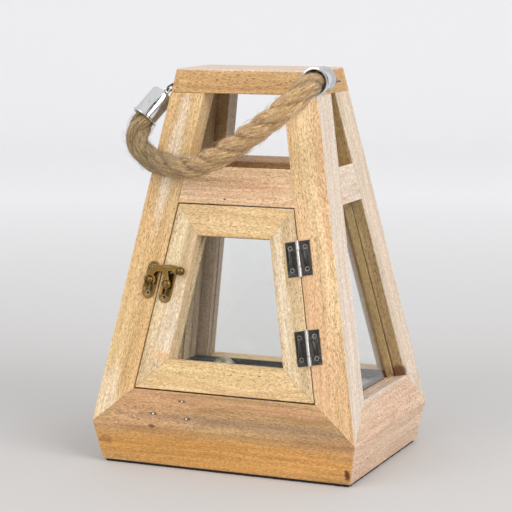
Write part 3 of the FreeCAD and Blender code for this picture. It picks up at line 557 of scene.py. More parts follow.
shade = calc(mango, "MULTIPLY", shade, spread(mango, speckle, 0.33, 0.67, 0.70, 1.23))
grey = warm_grey(mango, shade, 1.15, 1.5)
mango.links.new(grey, given.inputs["Shade"])
tone = mix(mango, 1.0, tone, grey, "MULTIPLY")
pore_share = calc(mango, "MULTIPLY", pores, taken.outputs["Pores"])
in_pores = mix(mango, 1.0, tone, colour(132, 104, 80), "MULTIPLY")
tone = mix(mango, pore_share, tone, in_pores)
mango.links.new(tone, given.inputs["Colour"])
rough = spread(mango, lines, 0.3, 0.7, 0.42, 0.54)
rough = calc(mango, "ADD", rough, calc(mango, "MULTIPLY", pores, 0.25))
mango.links.new(rough, given.inputs["Roughness"])
height = calc(mango, "SUBTRACT", calc(mango, "MULTIPLY", hairs, 0.25), pores)
mango.links.new(height, given.inputs["Height"])
print("mango_wood has", len(mango.nodes), "nodes")

# %% [markdown]
# Small marks tell one board from the next: pin holes in the base under the door, a knot at
# its corner. They could be painted on an image, but nothing here needs more than an ellipse
# on its board with a torn edge, and this group gives its mask.

# %% Group: a mark in the wood
mark_group, taken, given = new_group(
    "wood_mark", {"Board": "vector", "Centre": "vector", "Size": "vector", "Ragged": "number"},
    {"Mark": "number"})
away = calc_vector(mark_group, "SUBTRACT", taken.outputs["Board"], taken.outputs["Centre"])
scaled = calc_vector(mark_group, "DIVIDE", away, taken.outputs["Size"])
far = calc_vector(mark_group, "LENGTH", scaled)
torn = stretched_noise(mark_group, taken.outputs["Board"], (260, 620, 620), Detail=3.0)
torn = calc(mark_group, "SUBTRACT", torn, 0.5)
far = calc(mark_group, "ADD", far, calc(mark_group, "MULTIPLY", torn, taken.outputs["Ragged"]))
mark_group.links.new(spread(mark_group, far, 1.1, 0.6), given.inputs["Mark"])
print("wood_mark has", len(mark_group.nodes), "nodes")

# %% [markdown]
# ## The boards' tones
#
# No two boards of the real lantern match: the door is pale straw and the base is orange. The
# side boards look greyish pink, and the paler pink tone of the right base rail is partly painted
# sheen from the light on the right. Each board names its pale and deep tones, the blush between
# them, how strong its figure is and how open its pores are.

# %% Tones
TONES = {
    "honey": ((234, 204, 152), (210, 166, 104), (222, 178, 126)),
    "straw": ((236, 206, 152), (214, 176, 116), (230, 190, 144)),
    "sun": ((240, 208, 158), (208, 158, 98), (228, 182, 144)),
    "toast": ((212, 172, 120), (172, 132, 86), (202, 150, 108)),
    "gold": ((218, 176, 112), (176, 128, 68), (200, 150, 92)),
    "rose": ((244, 214, 172), (226, 186, 142), (238, 194, 156)),
    "cream": ((232, 208, 166), (198, 168, 124), (220, 184, 144)),
    # Partly painted sheen: paler and pinker than the wood, for the right base rail.
    "sheen_pink": ((234, 208, 180), (206, 172, 142), (222, 180, 154)),
    "ash": ((208, 180, 130), (168, 136, 88), (190, 154, 108)),
    "bark": ((198, 176, 142), (160, 136, 104), (180, 146, 118)),
}
BOARD_TONES = {
    "front_left_stile": ("honey", 0.75, 0.6), "front_right_stile": ("sun", 0.75, 0.75),
    "front_mid_rail": ("rose", 0.8, 0.55), "front_base_rail": ("toast", 0.9, 0.75),
    "top_board": ("gold", 0.85, 0.7), "door_left_stile": ("cream", 0.75, 0.65),
    "door_right_stile": ("cream", 0.8, 0.7), "door_top_rail": ("straw", 0.8, 0.5),
    "door_bottom_rail": ("straw", 0.6, 0.7), "right_front_stile": ("ash", 0.7, 0.75),
    "right_back_stile": ("ash", 0.7, 0.7), "right_mid_rail": ("ash", 0.7, 0.6),
    "right_base_rail": ("sheen_pink", 0.8, 0.75), "left_front_stile": ("bark", 0.8, 0.6),
    "left_back_stile": ("bark", 0.8, 0.6), "left_mid_rail": ("honey", 0.7, 0.6),
    "left_base_rail": ("toast", 0.7, 0.7), "back_left_stile": ("bark", 0.8, 0.6),
    "back_right_stile": ("ash", 0.7, 0.6), "back_mid_rail": ("toast", 0.7, 0.6),
    "back_base_rail": ("honey", 0.8, 0.6), "floor_board": ("honey", 0.6, 0.5),
}
print("boards:", len(BOARD_TONES))

# %% [markdown]
# ## Soft-edged boards
#
# A board's long edges are eased by a millimetre, but where two boards are glued or butt
# together their edges stay nearly sharp, and only a hairline shows. One bevel for all would
# open wide grooves at the joints, so each edge of each solid is compared with the boards
# next to it to tell which kind it is. The board is then laid into axes of its own, with X
# along the grain, for the finish to use.

# %% Which edges meet another board
EASED = 0.0009
HAIRLINE = 0.0004
TOUCHING = 0.0004
DOUBLED = 1e-6
FLAT = math.radians(0.6)
board_trees = {}
for name in BOARD_TONES:
    source = nodes[name].data
    corners = [vertex.co for vertex in source.vertices]
    board_trees[name] = BVHTree.FromPolygons(corners, [face.vertices for face in source.polygons])


def meets_another(name, points):
    """Whether most of the points touch some other board."""
    near = 0
    for point in points:
        near += any(tree.find_nearest(point, TOUCHING)[0] is not None
                    for other, tree in board_trees.items() if other != name)
    return near * 2 > len(points)


def copied_shape(name):
    """A solid's mesh, ready to edit, with its doubled points joined."""
    shape = bmesh.new()
    shape.from_mesh(nodes[name].data)
    bmesh.ops.remove_doubles(shape, verts=shape.verts, dist=DOUBLED)
    return shape


def merge_flats(shape, angle):
    bmesh.ops.dissolve_limit(shape, angle_limit=angle, verts=shape.verts, edges=shape.edges)


def finished_mesh(shape, name):
    """The edited shape as a mesh that an object can hold."""
    mesh = bpy.data.meshes.new(name)
    shape.to_mesh(mesh)
    shape.free()
    return mesh


print("board trees", len(board_trees))

# %% Soften a board
SMOOTH_UNDER = math.radians(8)
BEVEL_OVER = math.radians(30)
SHORT_EDGE = 0.003


def own_axes(shape):
    """X along the longest edge, Z out of the largest face, and the origin in the middle."""
    runs = (edge.verts[1].co - edge.verts[0].co for edge in shape.edges)
    grain = max(runs, key=lambda run: run.length).normalized()
    if grain[max(range(3), key=lambda i: abs(grain[i]))] < 0:
        grain = -grain
    face = max(shape.faces, key=lambda side: side.calc_area()).normal.copy()
    face = (face - face.dot(grain) * grain).normalized()
    middle = sum((vert.co for vert in shape.verts), Vector()) / len(shape.verts)
    axes = Matrix((grain, face.cross(grain), face)).transposed().to_4x4()
    return Matrix.Translation(middle) @ axes


def weigh_edges(name, shape):
    """Mark each edge sharp or smooth, and give each corner the width of its bevel."""
    weights = shape.edges.layers.float.new("bevel_weight_edge")
    for edge in shape.edges:
        edge.smooth = len(edge.link_faces) == 2 and edge.calc_face_angle() < SMOOTH_UNDER
        if len(edge.link_faces) != 2 or edge.calc_length() < SHORT_EDGE or not edge.is_convex:
            continue
        if edge.calc_face_angle() < BEVEL_OVER:
            continue
        start, end = (vert.co for vert in edge.verts)
        samples = [start.lerp(end, part) for part in (0.1, 0.3, 0.5, 0.7, 0.9)]
        edge[weights] = HAIRLINE / EASED if meets_another(name, samples) else 1.0


def soften_board(name):
    shape = copied_shape(name)
    merge_flats(shape, FLAT)
    weigh_edges(name, shape)
    axes = own_axes(shape)
    shape.transform(axes.inverted())
    mesh = finished_mesh(shape, "soft_" + name)
    board = link("soft_" + name, mesh)
    board.matrix_world = axes
    easing = board.modifiers.new("eased_edges", "BEVEL")
    easing.limit_method = "WEIGHT"
    easing.width = EASED
    easing.segments = 3
    easing.use_clamp_overlap = False
    easing.harden_normals = True
    mesh.shade_smooth()
    return settle(board, BODY_OF[name], "wood", name)


soft_boards = {name: soften_board(name) for name in BOARD_TONES}
print("soft boards", len(soft_boards))

# %% [markdown]
# Next come the marks themselves, board by board. A row gives a mark's middle on the lantern,
# its half size along the grain, across it and into the wood, how ragged it is, its colour
# and its strength. Two kinds of row are not small: streaks, which run most of a board, and
# whole outer faces on the top and the right, where a pale tone is painted sheen from the
# light above and on the right.

# %% Marks
KNOT = colour(98, 46, 22)
DARK = colour(58, 38, 26)
FILLED = colour(250, 236, 204)
ORANGE = colour(230, 164, 74)
PINK = colour(216, 158, 118)
RUST = colour(206, 134, 70)
# Painted sheen: a pale, greyish tone laid over the top and right-hand faces where the light falls.
PAINTED_SHEEN = colour(229, 213, 200)
GREY_STREAK = colour(152, 124, 98)
PALE_STREAK = colour(240, 226, 206)
OUTER_FACE = (0.3, 0.3, 0.0012)
PIN_HOLES = [(-0.0332, -0.0760, 0.0534), (-0.0565, -0.0781, 0.0425), (-0.0284, -0.0784, 0.0408),
             (-0.0570, -0.0799, 0.0332)]
MARKS = {
    "front_base_rail": [
        ((0.0200, -0.0784, 0.0405), (0.120, 0.0035, 0.02), 3.0, GREY_STREAK, 0.55),
        ((0.0450, -0.0760, 0.0530), (0.090, 0.0030, 0.02), 3.0, PINK, 0.4),
        ((0.0, -0.0750, 0.0150), (0.170, 0.0170, 0.012), 0.7, ORANGE, 0.62),
        ((0.1003, -0.0758, 0.0102), (0.0026, 0.0044, 0.01), 1.3, KNOT, 0.95),
        ((-0.0980, -0.0770, 0.0190), (0.0060, 0.0040, 0.01), 1.4, KNOT, 0.35),
        *[(hole, (0.0032, 0.0012, 0.003), 1.6, DARK, 0.8) for hole in PIN_HOLES],
        *[(hole, (0.0008, 0.0007, 0.002), 0.2, FILLED, 1.0) for hole in PIN_HOLES[:3]],
    ],
    # Whole-face rows in this table are painted sheen.
    "top_board": [((0, 0, 0.3010), (0.2, 0.2, 0.0012), 0.1, PAINTED_SHEEN, 0.62)],
    "right_front_stile": [((0.0889, -0.0358, 0.1327), OUTER_FACE, 0.1, PAINTED_SHEEN, 0.80)],
    "right_mid_rail": [
        ((0.0752, -0.0148, 0.2043), OUTER_FACE, 0.1, PAINTED_SHEEN, 0.74),
        ((0.0752, -0.0148, 0.2043), (0.0080, 0.0030, 0.01), 1.6, PINK, 0.4),
    ],
    "front_mid_rail": [
        ((-0.0092, -0.0471, 0.2049), (0.0011, 0.0008, 0.003), 0.5, DARK, 0.9),
        ((0.0160, -0.0445, 0.2150), (0.020, 0.0040, 0.01), 2.6, PINK, 0.45),
    ],
    "front_right_stile": [
        ((0.0905, -0.0585, 0.1450), (0.140, 0.0015, 0.004), 0.8, RUST, 0.75),
        ((0.0700, -0.0450, 0.2150), (0.060, 0.0050, 0.01), 2.4, PINK, 0.4),
    ],
    "front_left_stile": [
        ((-0.0560, -0.0400, 0.2350), (0.060, 0.0045, 0.01), 1.6, PALE_STREAK, 0.6),
        ((-0.0960, -0.0760, 0.0520), (0.030, 0.0080, 0.01), 1.8, PALE_STREAK, 0.4),
    ],
    "door_left_stile": [
        ((-0.0470, -0.0660, 0.1050), (0.040, 0.0050, 0.01), 2.2, PALE_STREAK, 0.45),
        ((-0.0500, -0.0700, 0.0850), (0.0050, 0.0022, 0.01), 1.8, ORANGE, 0.45),
    ],
    "door_bottom_rail": [((0.0060, -0.0710, 0.0760), (0.0010, 0.0006, 0.003), 0.4, DARK, 0.9)],
    "door_right_stile": [((0.0440, -0.0600, 0.1330), (0.060, 0.0040, 0.01), 2.0, PALE_STREAK, 0.5)],
    "right_back_stile": [
        ((0.0990, 0.0560, 0.0800), OUTER_FACE, 0.1, PAINTED_SHEEN, 0.66),
        ((0.0972, 0.0462, 0.0619), (0.0070, 0.0040, 0.01), 1.4, KNOT, 0.8),
    ],
    # A streak of painted sheen along the right base rail.
    "right_base_rail": [((0.1020, 0.0, 0.0600), (0.150, 0.0040, 0.01), 2.0, PAINTED_SHEEN, 0.5)],
}
print("marks:", sum(map(len, MARKS.values())))

# %% [markdown]
# Each board gets a material of its own from the shared groups. One material for all would
# make the lantern look cut from a single plank. The offset moves the grain pattern, so that
# no two boards show the same stretch of it.

# %% Wood finishes
# The edges' paler tone stands for wear and is also painted highlight on the rounded edges.
WEAR_AND_HIGHLIGHT_TONE = colour(240, 214, 172)
EDGE_WEAR_AND_HIGHLIGHT = 0.35
WAX = 0.08
WAXED = {"top_board": 0.25, "right_front_stile": 0.2, "right_base_rail": 0.15}


def wood_finish(name, offset):
    """One board's material: tones, edges paler from wear and painted highlight, and marks."""
    tone_name, figure, open_pores = BOARD_TONES[name]
    pale, deep, blushing = (colour(*shade) for shade in TONES[tone_name])
    finish, tree, shader, place = new_finish("wood_" + name)
    moved = calc_vector(tree, "ADD", place, offset)
    grain = use_group(tree, mango, {"Board": moved, "Pale": pale, "Deep": deep, "Blush": blushing,
                                    "Figure": figure, "Pores": open_pores})
    edge_wear_and_highlight = use_group(tree, wear_and_highlight_edges, {"Place": moved, "Reach": 0.0012, "Break up": 0.7})["Wear_and_highlight"]
    # Paler edges: partly wear, partly painted highlight.
    surface = mix(tree, calc(tree, "MULTIPLY", edge_wear_and_highlight, EDGE_WEAR_AND_HIGHLIGHT), grain["Colour"], WEAR_AND_HIGHLIGHT_TONE)
    for centre, extent, ragged, mark_tone, strength in MARKS.get(name, ()):
        local = soft_boards[name].matrix_world.inverted() @ Vector(centre)
        mark = use_group(tree, mark_group, {"Board": place, "Centre": local, "Size": extent,
                                            "Ragged": ragged})["Mark"]
        marked = mix(tree, 1.0, mark_tone, grain["Shade"], "MULTIPLY")
        surface = mix(tree, calc(tree, "MULTIPLY", mark, strength), surface, marked)
    feed(tree, shader, Base_Color=surface, Roughness=grain["Roughness"],
         Normal=bump(tree, grain["Height"], 0.00012, 0.6), Coat_Weight=WAXED.get(name, WAX),
         Coat_Roughness=0.28)
    return finish


for number, (name, board) in enumerate(soft_boards.items()):
    shift = Vector((0.37 * number, 0.113 * number, 0.071 * number))
    put_on([board], wood_finish(name, shift))
print("wood finishes", len(soft_boards))

# %% [markdown]
# ## Metal fittings
#
# The fittings keep the shapes of their solids: they are stamped and turned pieces, already
# drawn to the tenth of a millimetre. All that they lack is a tiny bevel that catches the
# light. Curved faces are shaded smooth and real corners stay sharp.

# %% Refined metal copies
SHARP = math.radians(32)


def refine(name, slot, edge_width):
    """A copy of a fitting with smooth round faces and fine bevels on its corners."""
    mesh = finished_mesh(copied_shape(name), "fine_" + name)
    mesh.shade_smooth()
    mesh.set_sharp_from_angle(angle=SHARP)
    piece = show("fine_" + name, mesh, BODY_OF[name], slot, name)
    if edge_width:
        easing = piece.modifiers.new("fine_edges", "BEVEL")
        easing.limit_method = "ANGLE"
        easing.angle_limit = SHARP
        easing.width = edge_width
        easing.segments = 2
        easing.harden_normals = True
    return piece


STAMPED_EDGE = 0.00015
HINGE_PIECES = [f"{which}_hinge_{part}" for which in ("lower", "upper")
                for part in ("door_leaf", "frame_leaf", "pin")]
HINGE_SCREWS = ["hinge_door_screws", "hinge_frame_screws"]
LATCH_PIECES = ["latch_door_plate", "latch_frame_plate", "latch_arm", "latch_pivot", "latch_post"]
LATCH_SCREWS = ["latch_door_screws", "latch_frame_screws"]
CHROME_PIECES = ["left_cap", "right_cap", "left_chain", "right_chain", "left_eye", "right_eye"]
hinges = [refine(name, "black_steel", STAMPED_EDGE) for name in HINGE_PIECES]
hinge_screws = [refine(name, "black_steel", 0.0) for name in HINGE_SCREWS]
latch = [refine(name, "antique_brass", 0.0002) for name in LATCH_PIECES]
latch_screws = [refine(name, "black_steel", 0.0) for name in LATCH_SCREWS]
chrome = [refine(name, "chrome", 0.00012 if name.endswith("cap") else 0.0)
          for name in CHROME_PIECES]
print("fittings", len(hinges + hinge_screws + latch + latch_screws + chrome))

# %% [markdown]
# Every metal here is handled: its sheen is broken by smudges, its edges are rubbed bright
# and its hollows are dull. They differ in numbers, not in kind, so one function makes them
# all. A painted highlight runs along the hinges' knuckles, which lie along one line.

# %% Metal finishes
SMUDGES = (350, 350, 350)
# The line of the hinges' knuckles, along which a highlight is painted.
KNUCKLE_HIGHLIGHT_LINE = (Vector((0.0666283, -0.0683053, 0.1007436)), Vector((-0.184176, 0.184176, 0.965484)))


def metal_finish(name, deep, rubbed_and_highlight_tone, roughness, smudge, metallic=1.0, wear=0.8, patches=0.6,
                 painted_highlight_line=None):
    """Smudged metal, rubbed on edges and in patches, with painted highlight along a given line."""
    finish, tree, shader, place = new_finish(name)
    cloud = stretched_noise(tree, place, SMUDGES, Detail=5.0, Roughness=0.65)
    edge_wear_and_highlight = use_group(tree, wear_and_highlight_edges, {"Place": place, "Reach": 0.0006, "Break up": 0.5})["Wear_and_highlight"]
    rub_and_highlight_mask = calc(tree, "MAXIMUM", calc(tree, "MULTIPLY", edge_wear_and_highlight, wear),
               spread(tree, cloud, 0.52, 0.78, 0.0, patches))
    # A painted highlight along the given line, where the hinges' knuckles catch the light.
    if painted_highlight_line:
        start, direction = painted_highlight_line
        away = calc_vector(tree, "SUBTRACT", place, start)
        off_line = calc_vector(tree, "LENGTH", calc_vector(tree, "CROSS_PRODUCT", away, direction))
        rub_and_highlight_mask = calc(tree, "MAXIMUM", rub_and_highlight_mask, spread(tree, off_line, 0.0017, 0.0012))
    feed(tree, shader, Base_Color=mix(tree, rub_and_highlight_mask, deep, rubbed_and_highlight_tone), Metallic=metallic,
         Roughness=spread(tree, cloud, 0.3, 0.7, roughness - smudge, roughness + smudge),
         Normal=bump(tree, cloud, 0.00005, 0.35))
    return finish


print("smudges per metre:", SMUDGES[0])

# %% Metals on the fittings
METALS = [
    # The hinges' pale tone is mostly their painted knuckle highlight.
    (hinges, "black_steel", (62, 60, 57), (214, 210, 206), 0.36, 0.08,
     {"wear": 0.22, "patches": 0.10, "painted_highlight_line": KNUCKLE_HIGHLIGHT_LINE}),
    (hinge_screws, "screw_steel", (74, 71, 67), (196, 192, 186), 0.28, 0.08, {}),
    (latch, "antique_brass", (122, 94, 52), (206, 176, 118), 0.36, 0.10, {}),
    (latch_screws, "dark_screw", (70, 60, 44), (210, 200, 176), 0.30, 0.08, {}),
    (chrome[:2], "bright_chrome", (222, 224, 226), (240, 240, 240), 0.12, 0.05, {"wear": 0.4}),
    (chrome[2:], "chain_steel", (112, 106, 98), (196, 190, 180), 0.25, 0.08, {}),
]
for pieces, name, deep, rubbed_and_highlight_tone, roughness, smudge, special in METALS:
    put_on(pieces, metal_finish(name, colour(*deep), colour(*rubbed_and_highlight_tone), roughness, smudge, **special))
print("metals:", len(METALS))

# %% [markdown]
# ## The floor inside
#
# Four low turned studs stand on the floor. They have fine rings from the lathe, which a bump
# would not show in their outline, so each is turned here from a profile, as the real one was.

# %% Turned studs
STUD_PROFILE = [(0.0100, 0.0), (0.0100, 0.0009), (0.0097, 0.0014), (0.0094, 0.0012),
                (0.0089, 0.0022), (0.0080, 0.0034), (0.0077, 0.0033), (0.0071, 0.0043),
                (0.0058, 0.0055), (0.0055, 0.0054), (0.0048, 0.0061), (0.0030, 0.0069),
                (0.0016, 0.0072), (0.0, 0.0073)]
STUD_STEPS = 48
STUD_ACROSS, STUD_ALONG, STUD_FOOT = 0.0532905, 0.0442905, 0.0555
STUD_PLACES = [(side * STUD_ACROSS, end * STUD_ALONG, STUD_FOOT)
               for side in (1, -1) for end in (1, -1)]


def turn_studs():
    shape = bmesh.new()
    for place in STUD_PLACES:
        start = [shape.verts.new(Vector((r, 0, z)) + Vector(place)) for r, z in STUD_PROFILE]
        edges = [shape.edges.new(pair) for pair in zip(start, start[1:])]
        bmesh.ops.spin(shape, geom=start + edges, cent=place, axis=(0, 0, 1), angle=2 * math.pi,
                       steps=STUD_STEPS, use_merge=True, use_duplicate=False)
    bmesh.ops.remove_doubles(shape, verts=shape.verts, dist=DOUBLED)
    bmesh.ops.holes_fill(shape, edges=shape.edges, sides=STUD_STEPS)
    bmesh.ops.recalc_face_normals(shape, faces=shape.faces)
    mesh = finished_mesh(shape, "turned_studs")
    mesh.shade_smooth()
    mesh.set_sharp_from_angle(angle=SHARP)
    return mesh


studs = show("turned_studs", turn_studs(), "lantern", "grey_metal", "floor_buttons")
put_on([studs], metal_finish("stud_metal", colour(168, 163, 142), colour(206, 202, 186),
                             0.38, 0.08, metallic=0.85))
print("studs:", len(STUD_PLACES), "with", len(studs.data.polygons), "faces")

# %% [markdown]
# The studs stand on a shallow tray of thin dark sheet, glossy under a film of dust. Its edges
# are folded up, and seen through the door they make the dark band under the back wall. A
# plain sheet would leave that band out, so the tray is built from rings of four corners,
# from its underside up over the lip and down to its floor.

# %% Tray with a turned-up lip
LIP_HIGH = 0.0043
LIP_THICK = 0.0008
LIP_LEANS = 0.0008
LIP_FOOT = 0.0006
LIP_FILLET = 0.0014


def fold_tray():
    """A shallow tray: a flat sheet whose edges turn up along the walls and lean in with them."""
    low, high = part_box("floor_plate")
    rings = []
    for inset, z in ((0, low.z), (0, high.z), (LIP_LEANS, high.z + LIP_HIGH),
                     (LIP_LEANS + LIP_THICK, high.z + LIP_HIGH),
                     (LIP_THICK + LIP_FOOT, high.z + LIP_FOOT),
                     (LIP_THICK + LIP_FILLET, high.z)):
        x, y = high.x - inset, high.y - inset
        rings.append([(-x, -y, z), (x, -y, z), (x, y, z), (-x, y, z)])
    verts = [corner for ring in rings for corner in ring]
    faces = [(3, 2, 1, 0)]
    for ring in range(len(rings) - 1):
        for k in range(4):
            a, b = 4 * ring + k, 4 * ring + (k + 1) % 4
            faces.append((a, b, b + 4, a + 4))
    faces.append(tuple(range(4 * len(rings) - 4, 4 * len(rings))))
    return new_mesh("folded_tray", verts, faces)


tray = show("folded_tray", fold_tray(), "lantern", "dark_plate", "floor_plate")
print("tray faces", len(tray.data.polygons))

# %% Tray finish
def tray_finish():
    finish, tree, shader, place = new_finish("tray_black")
    dust = stretched_noise(tree, place, (140, 140, 140), Detail=6.0, Roughness=0.7)
    scratch = stretched_noise(tree, place, (30, 900, 30), Detail=3.0)
    dusty = spread(tree, dust, 0.45, 0.75, 0.0, 0.35)
    tone = mix(tree, dusty, colour(50, 48, 46), colour(112, 106, 98))
    feed(tree, shader, Base_Color=tone, Roughness=spread(tree, scratch, 0.35, 0.65, 0.14, 0.26),
         Coat_Weight=0.4, Coat_Roughness=0.08, Normal=bump(tree, scratch, 0.00003, 0.3))
    return finish


put_on([tray], tray_finish())
print("tray wears", tray.data.materials[0].name)

# %% [markdown]
# ## The pad under the base
#
# The lantern stands on a sheet of black foam rubber, cut by hand: its edge is ragged, which
# shows as a torn dark line on the floor. The solid's sides are divided into short steps and
# pushed in and out by noise, so the line itself is torn, not only its shading.

# %% Ragged pad
RAGGED = 0.0007
SIDE_STEPS = 110
LONG_SIDE = 0.05
ON_THE_RIM = 1e-5


def rag_pad():
    shape = copied_shape("base_pad")
    merge_flats(shape, 0.01)
    rim = [edge for edge in shape.edges if edge.calc_length() > LONG_SIDE]
    bmesh.ops.subdivide_edges(shape, edges=rim, cuts=SIDE_STEPS, use_grid_fill=True)
    _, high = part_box("base_pad")
    for vert in shape.verts:
        out = Vector((0, 0, 0))
        for axis in (0, 1):
            if abs(abs(vert.co[axis]) - high[axis]) < ON_THE_RIM:
                out[axis] = math.copysign(1, vert.co[axis])
        step = noise.noise(vert.co * 700) + 0.6 * noise.noise(vert.co * 230)
        vert.co += out * RAGGED * (step - 0.4)
    return finished_mesh(shape, "ragged_pad")


pad = show("ragged_pad", rag_pad(), "lantern", "base_pad", "base_pad")


def rubber_finish():
    finish, tree, shader, place = new_finish("foam_rubber")
    cells = stretched_noise(tree, place, (1500, 1500, 1500), Detail=3.0)
    tone = mix(tree, spread(tree, cells, 0.4, 0.65), colour(24, 22, 21), colour(58, 54, 50))
    feed(tree, shader, Base_Color=tone, Roughness=0.92, Normal=bump(tree, cells, 0.0003, 0.7))
    return finish


put_on([pad], rubber_finish())
print("pad points", len(pad.data.vertices))

# %% [markdown]
# ## Glass
#
# Plain window glass, two millimetres thick. A real pane casts almost no shadow, but a traced
# one would leave the inside dark, so for shadow rays the glass turns clear. A trace of dust
# and finger marks breaks up its roughness.

# %% Panes
GLASS_PIECES = ["door_glass", "left_glass", "right_glass", "back_glass"]


def glass_finish():
    finish, tree, shader, place = new_finish("window_glass")
    film = stretched_noise(tree, place, (40, 40, 60), Detail=5.0, Roughness=0.7)
    feed(tree, shader, Base_Color=(0.99, 1.0, 0.995, 1), IOR=1.45, Transmission_Weight=1.0,
         Roughness=spread(tree, film, 0.45, 0.75, 0.0, 0.05))
    clear = add(tree, "BsdfTransparent", {"Color": (0.96, 0.97, 0.965, 1)})
    in_shadow = add(tree, "LightPath").outputs["Is Shadow Ray"]
    both = add(tree, "MixShader", {0: in_shadow, 1: shader.outputs[0], 2: clear.outputs[0]})
    tree.links.new(both.outputs[0], tree.nodes["Material Output"].inputs["Surface"])
    return finish


panes = [refine(name, "glass", 0.00015) for name in GLASS_PIECES]
put_on(panes, glass_finish())
print("panes", len(panes))

# %% [markdown]
# ## Jute
#
# The fibres run along the yarns, which turn all the way round the rope. Noise read in plain
# space would cut across them, so it is read at the place each point remembers from its
# straight strand, drawn out along X. The grooves between yarns and strands are painted darker
# as shade, so the backs look paler. Both ends are darker, partly dirt from being held and partly
# painted shade, the left one further in.

# %% Jute finish
def jute_finish():
    finish, tree, shader, _ = new_finish("jute")
    straight = add(tree, "Attribute", attribute_name="straight_strand").outputs["Vector"]
    depth = add(tree, "Attribute", attribute_name="rope_depth").outputs["Vector"]
    depth = add(tree, "SeparateXYZ", {0: depth})
    threads = stretched_noise(tree, straight, (420, 2600, 2600), Detail=4.0, Roughness=0.7)
    tufts = stretched_noise(tree, straight, (120, 620, 620), Detail=3.0)
    stains = stretched_noise(tree, straight, (26, 60, 60), Detail=2.0)
    tufted = spread(tree, tufts, 0.35, 0.65)
    pale = mix(tree, tufted, colour(232, 196, 146), colour(190, 148, 100))
    # The darker tone towards both ends is partly dirt and partly painted shade, most on the left.
    dirt_and_shade_tone = mix(tree, tufted, colour(168, 142, 102), colour(124, 102, 70))
    ends_dirt_and_shade = calc(tree, "MAXIMUM", spread(tree, depth.outputs["Z"], 0.50, 0.26),
                spread(tree, depth.outputs["Z"], 0.80, 0.92))
    ends_dirt_and_shade = calc(tree, "MULTIPLY", ends_dirt_and_shade, spread(tree, stains, 0.3, 0.6, 0.6, 1.0))
    tone = mix(tree, ends_dirt_and_shade, pale, dirt_and_shade_tone)
    tangle = stretched_noise(tree, straight, (800, 1300, 1300), Detail=3.0, Roughness=0.7)
    thread_shade = calc(tree, "MULTIPLY", spread(tree, threads, 0.34, 0.66, 0.60, 1.28),
                        spread(tree, tangle, 0.34, 0.66, 0.66, 1.26))
    # Painted shade: darker in the grooves between yarns and strands.
    painted_groove_shade = calc(tree, "MULTIPLY", spread(tree, depth.outputs["X"], 0.72, 0.90, 0.45, 1.0),
                  spread(tree, depth.outputs["Y"], 0.86, 0.97, 0.70, 1.0))
    shade = calc(tree, "MULTIPLY", thread_shade, painted_groove_shade)
    shaded = mix(tree, 1.0, tone, warm_grey(tree, shade, 1.0, 1.2), "MULTIPLY")
    feed(tree, shader, Base_Color=shaded, Roughness=0.88, Sheen_Weight=0.25,
         Sheen_Roughness=0.5, Normal=bump(tree, tangle, 0.0005, 0.8))
    return finish


put_on([rope], jute_finish())
print(f"rope declared, {2000 * ROPE_RADIUS:.1f} mm thick")

# %% [markdown]
# ## Floor, backdrop and light
#
# A pale sweep stands under and behind the lantern: one sheet that curves up from floor to
# wall, so that no line crosses the background. It reaches far behind the camera too, because
# other views look across it from the other side. It is a little darker under the lantern than
# at the wall.

# %% Sweep
SWEEP_NEAR, SWEEP_FAR = -9.0, 3.2
SWEEP_HIGH, SWEEP_HALF_WIDTH = 3.5, 9.0
SWEEP_FLAT_TO = 0.6
SWEEP_RADIUS = 0.9
SWEEP_STEPS = 24
SWEEP_TURN = math.radians(23.7)


def build_sweep():
    profile = [(SWEEP_NEAR, 0.0), (SWEEP_FLAT_TO, 0.0)]
    for i in range(SWEEP_STEPS + 1):
        angle = math.pi / 2 * i / SWEEP_STEPS
        profile.append((SWEEP_FAR - SWEEP_RADIUS * (1 - math.sin(angle)),
                        SWEEP_RADIUS * (1 - math.cos(angle))))
    profile.append((SWEEP_FAR, SWEEP_HIGH))
    verts = [(side * SWEEP_HALF_WIDTH, y, z) for y, z in profile for side in (-1, 1)]
    faces = [(2 * i, 2 * i + 1, 2 * i + 3, 2 * i + 2) for i in range(len(profile) - 1)]
    mesh = new_mesh("sweep", verts, faces)
    mesh.shade_smooth()
    sweep = link("sweep", mesh)
    sweep.rotation_euler.z = SWEEP_TURN
    return sweep


def sweep_finish():
    finish, tree, shader, place = new_finish("pale_sweep")
    away = add(tree, "SeparateXYZ", {0: place}).outputs["Y"]
    tone = mix(tree, spread(tree, away, 0.25, 1.6), colour(198, 196, 195), colour(244, 244, 246))
    feed(tree, shader, Base_Color=tone, Roughness=0.9, Specular_IOR_Level=0.2)
    return finish


sweep = build_sweep()
put_on([sweep], sweep_finish())
print("sweep faces", len(sweep.data.polygons))

# %% [markdown]
# The world gives a plain soft fill from all round, a little darker low down, as in a room
# with a floor. Alone it would leave every side alike, so two large soft lamps shape the
# lantern. The stronger stands to the right, so the right-hand boards are the brightest.

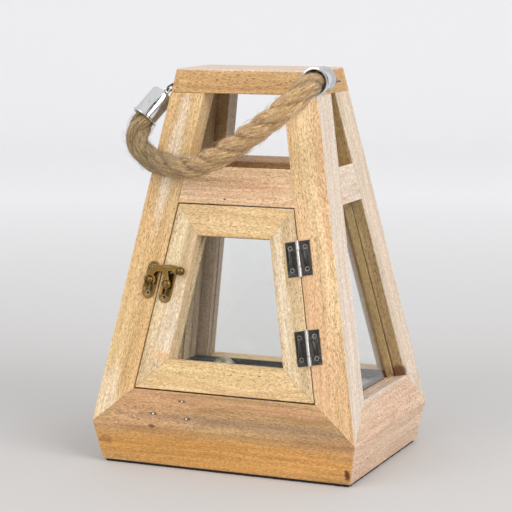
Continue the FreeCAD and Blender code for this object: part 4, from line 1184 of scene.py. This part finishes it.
# %% Lamps
def soft_lamp(name, place, aim, across, watts):
    lamp = bpy.data.lights.new(name, "AREA")
    lamp.shape = "SQUARE"
    lamp.size = across
    lamp.energy = watts
    holder = link(name, lamp)
    holder.location = place
    holder.rotation_euler = (Vector(aim) - Vector(place)).to_track_quat("-Z", "Y").to_euler()
    print(name, watts, "W")


soft_lamp("right_lamp", (2.2, -0.9, 1.4), (0, 0, 0.15), 1.8, 44)
soft_lamp("front_lamp", (-0.9, -2.2, 1.6), (0, 0, 0.12), 2.0, 25)

# %% World
FILL_STRENGTH = 0.85
world = bpy.data.worlds.new("studio")
bpy.context.scene.world = world
world.use_nodes = True
sky = world.node_tree.nodes["Background"]
direction = add(world.node_tree, "TexCoord").outputs["Generated"]
upward = add(world.node_tree, "SeparateXYZ", {0: direction}).outputs["Z"]
level = spread(world.node_tree, upward, 0.05, 0.6, 0.55, 1.0)
sky_grey = add(world.node_tree, "CombineColor", {"Red": level, "Green": level, "Blue": level})
world.node_tree.links.new(sky_grey.outputs[0], sky.inputs["Color"])
sky.inputs["Strength"].default_value = FILL_STRENGTH
print("fill strength", FILL_STRENGTH)

# %% [markdown]
# Chrome shows whatever stands round it, and in an all-white studio it would look like white
# paint. A tall dark card beside the camera, seen only in reflections, gives the caps a darker
# side.

# %% Dark card
CARD_PLACE = (0.95, -0.95, 0.0)
CARD_WIDTH, CARD_HEIGHT = 0.40, 1.5


def stand_card():
    corners = [(side * CARD_WIDTH / 2, 0, height)
               for side, height in ((-1, 0), (1, 0), (1, CARD_HEIGHT), (-1, CARD_HEIGHT))]
    card = link("dark_card", new_mesh("dark_card", corners, [(0, 1, 2, 3)]))
    card.location = CARD_PLACE
    card.rotation_euler.z = math.atan2(CARD_PLACE[1], CARD_PLACE[0]) + math.pi / 2
    for kind_of_ray in ("camera", "diffuse", "shadow", "transmission"):
        setattr(card, "visible_" + kind_of_ray, False)
    return card


def card_finish():
    finish, tree, shader, place = new_finish("card_grey")
    cloudy = stretched_noise(tree, place, (40, 40, 40))
    tone = mix(tree, cloudy, colour(40, 40, 42), colour(60, 60, 62))
    feed(tree, shader, Base_Color=tone, Roughness=0.9)
    return finish


card = stand_card()
put_on([card], card_finish())
print("card at", CARD_PLACE)
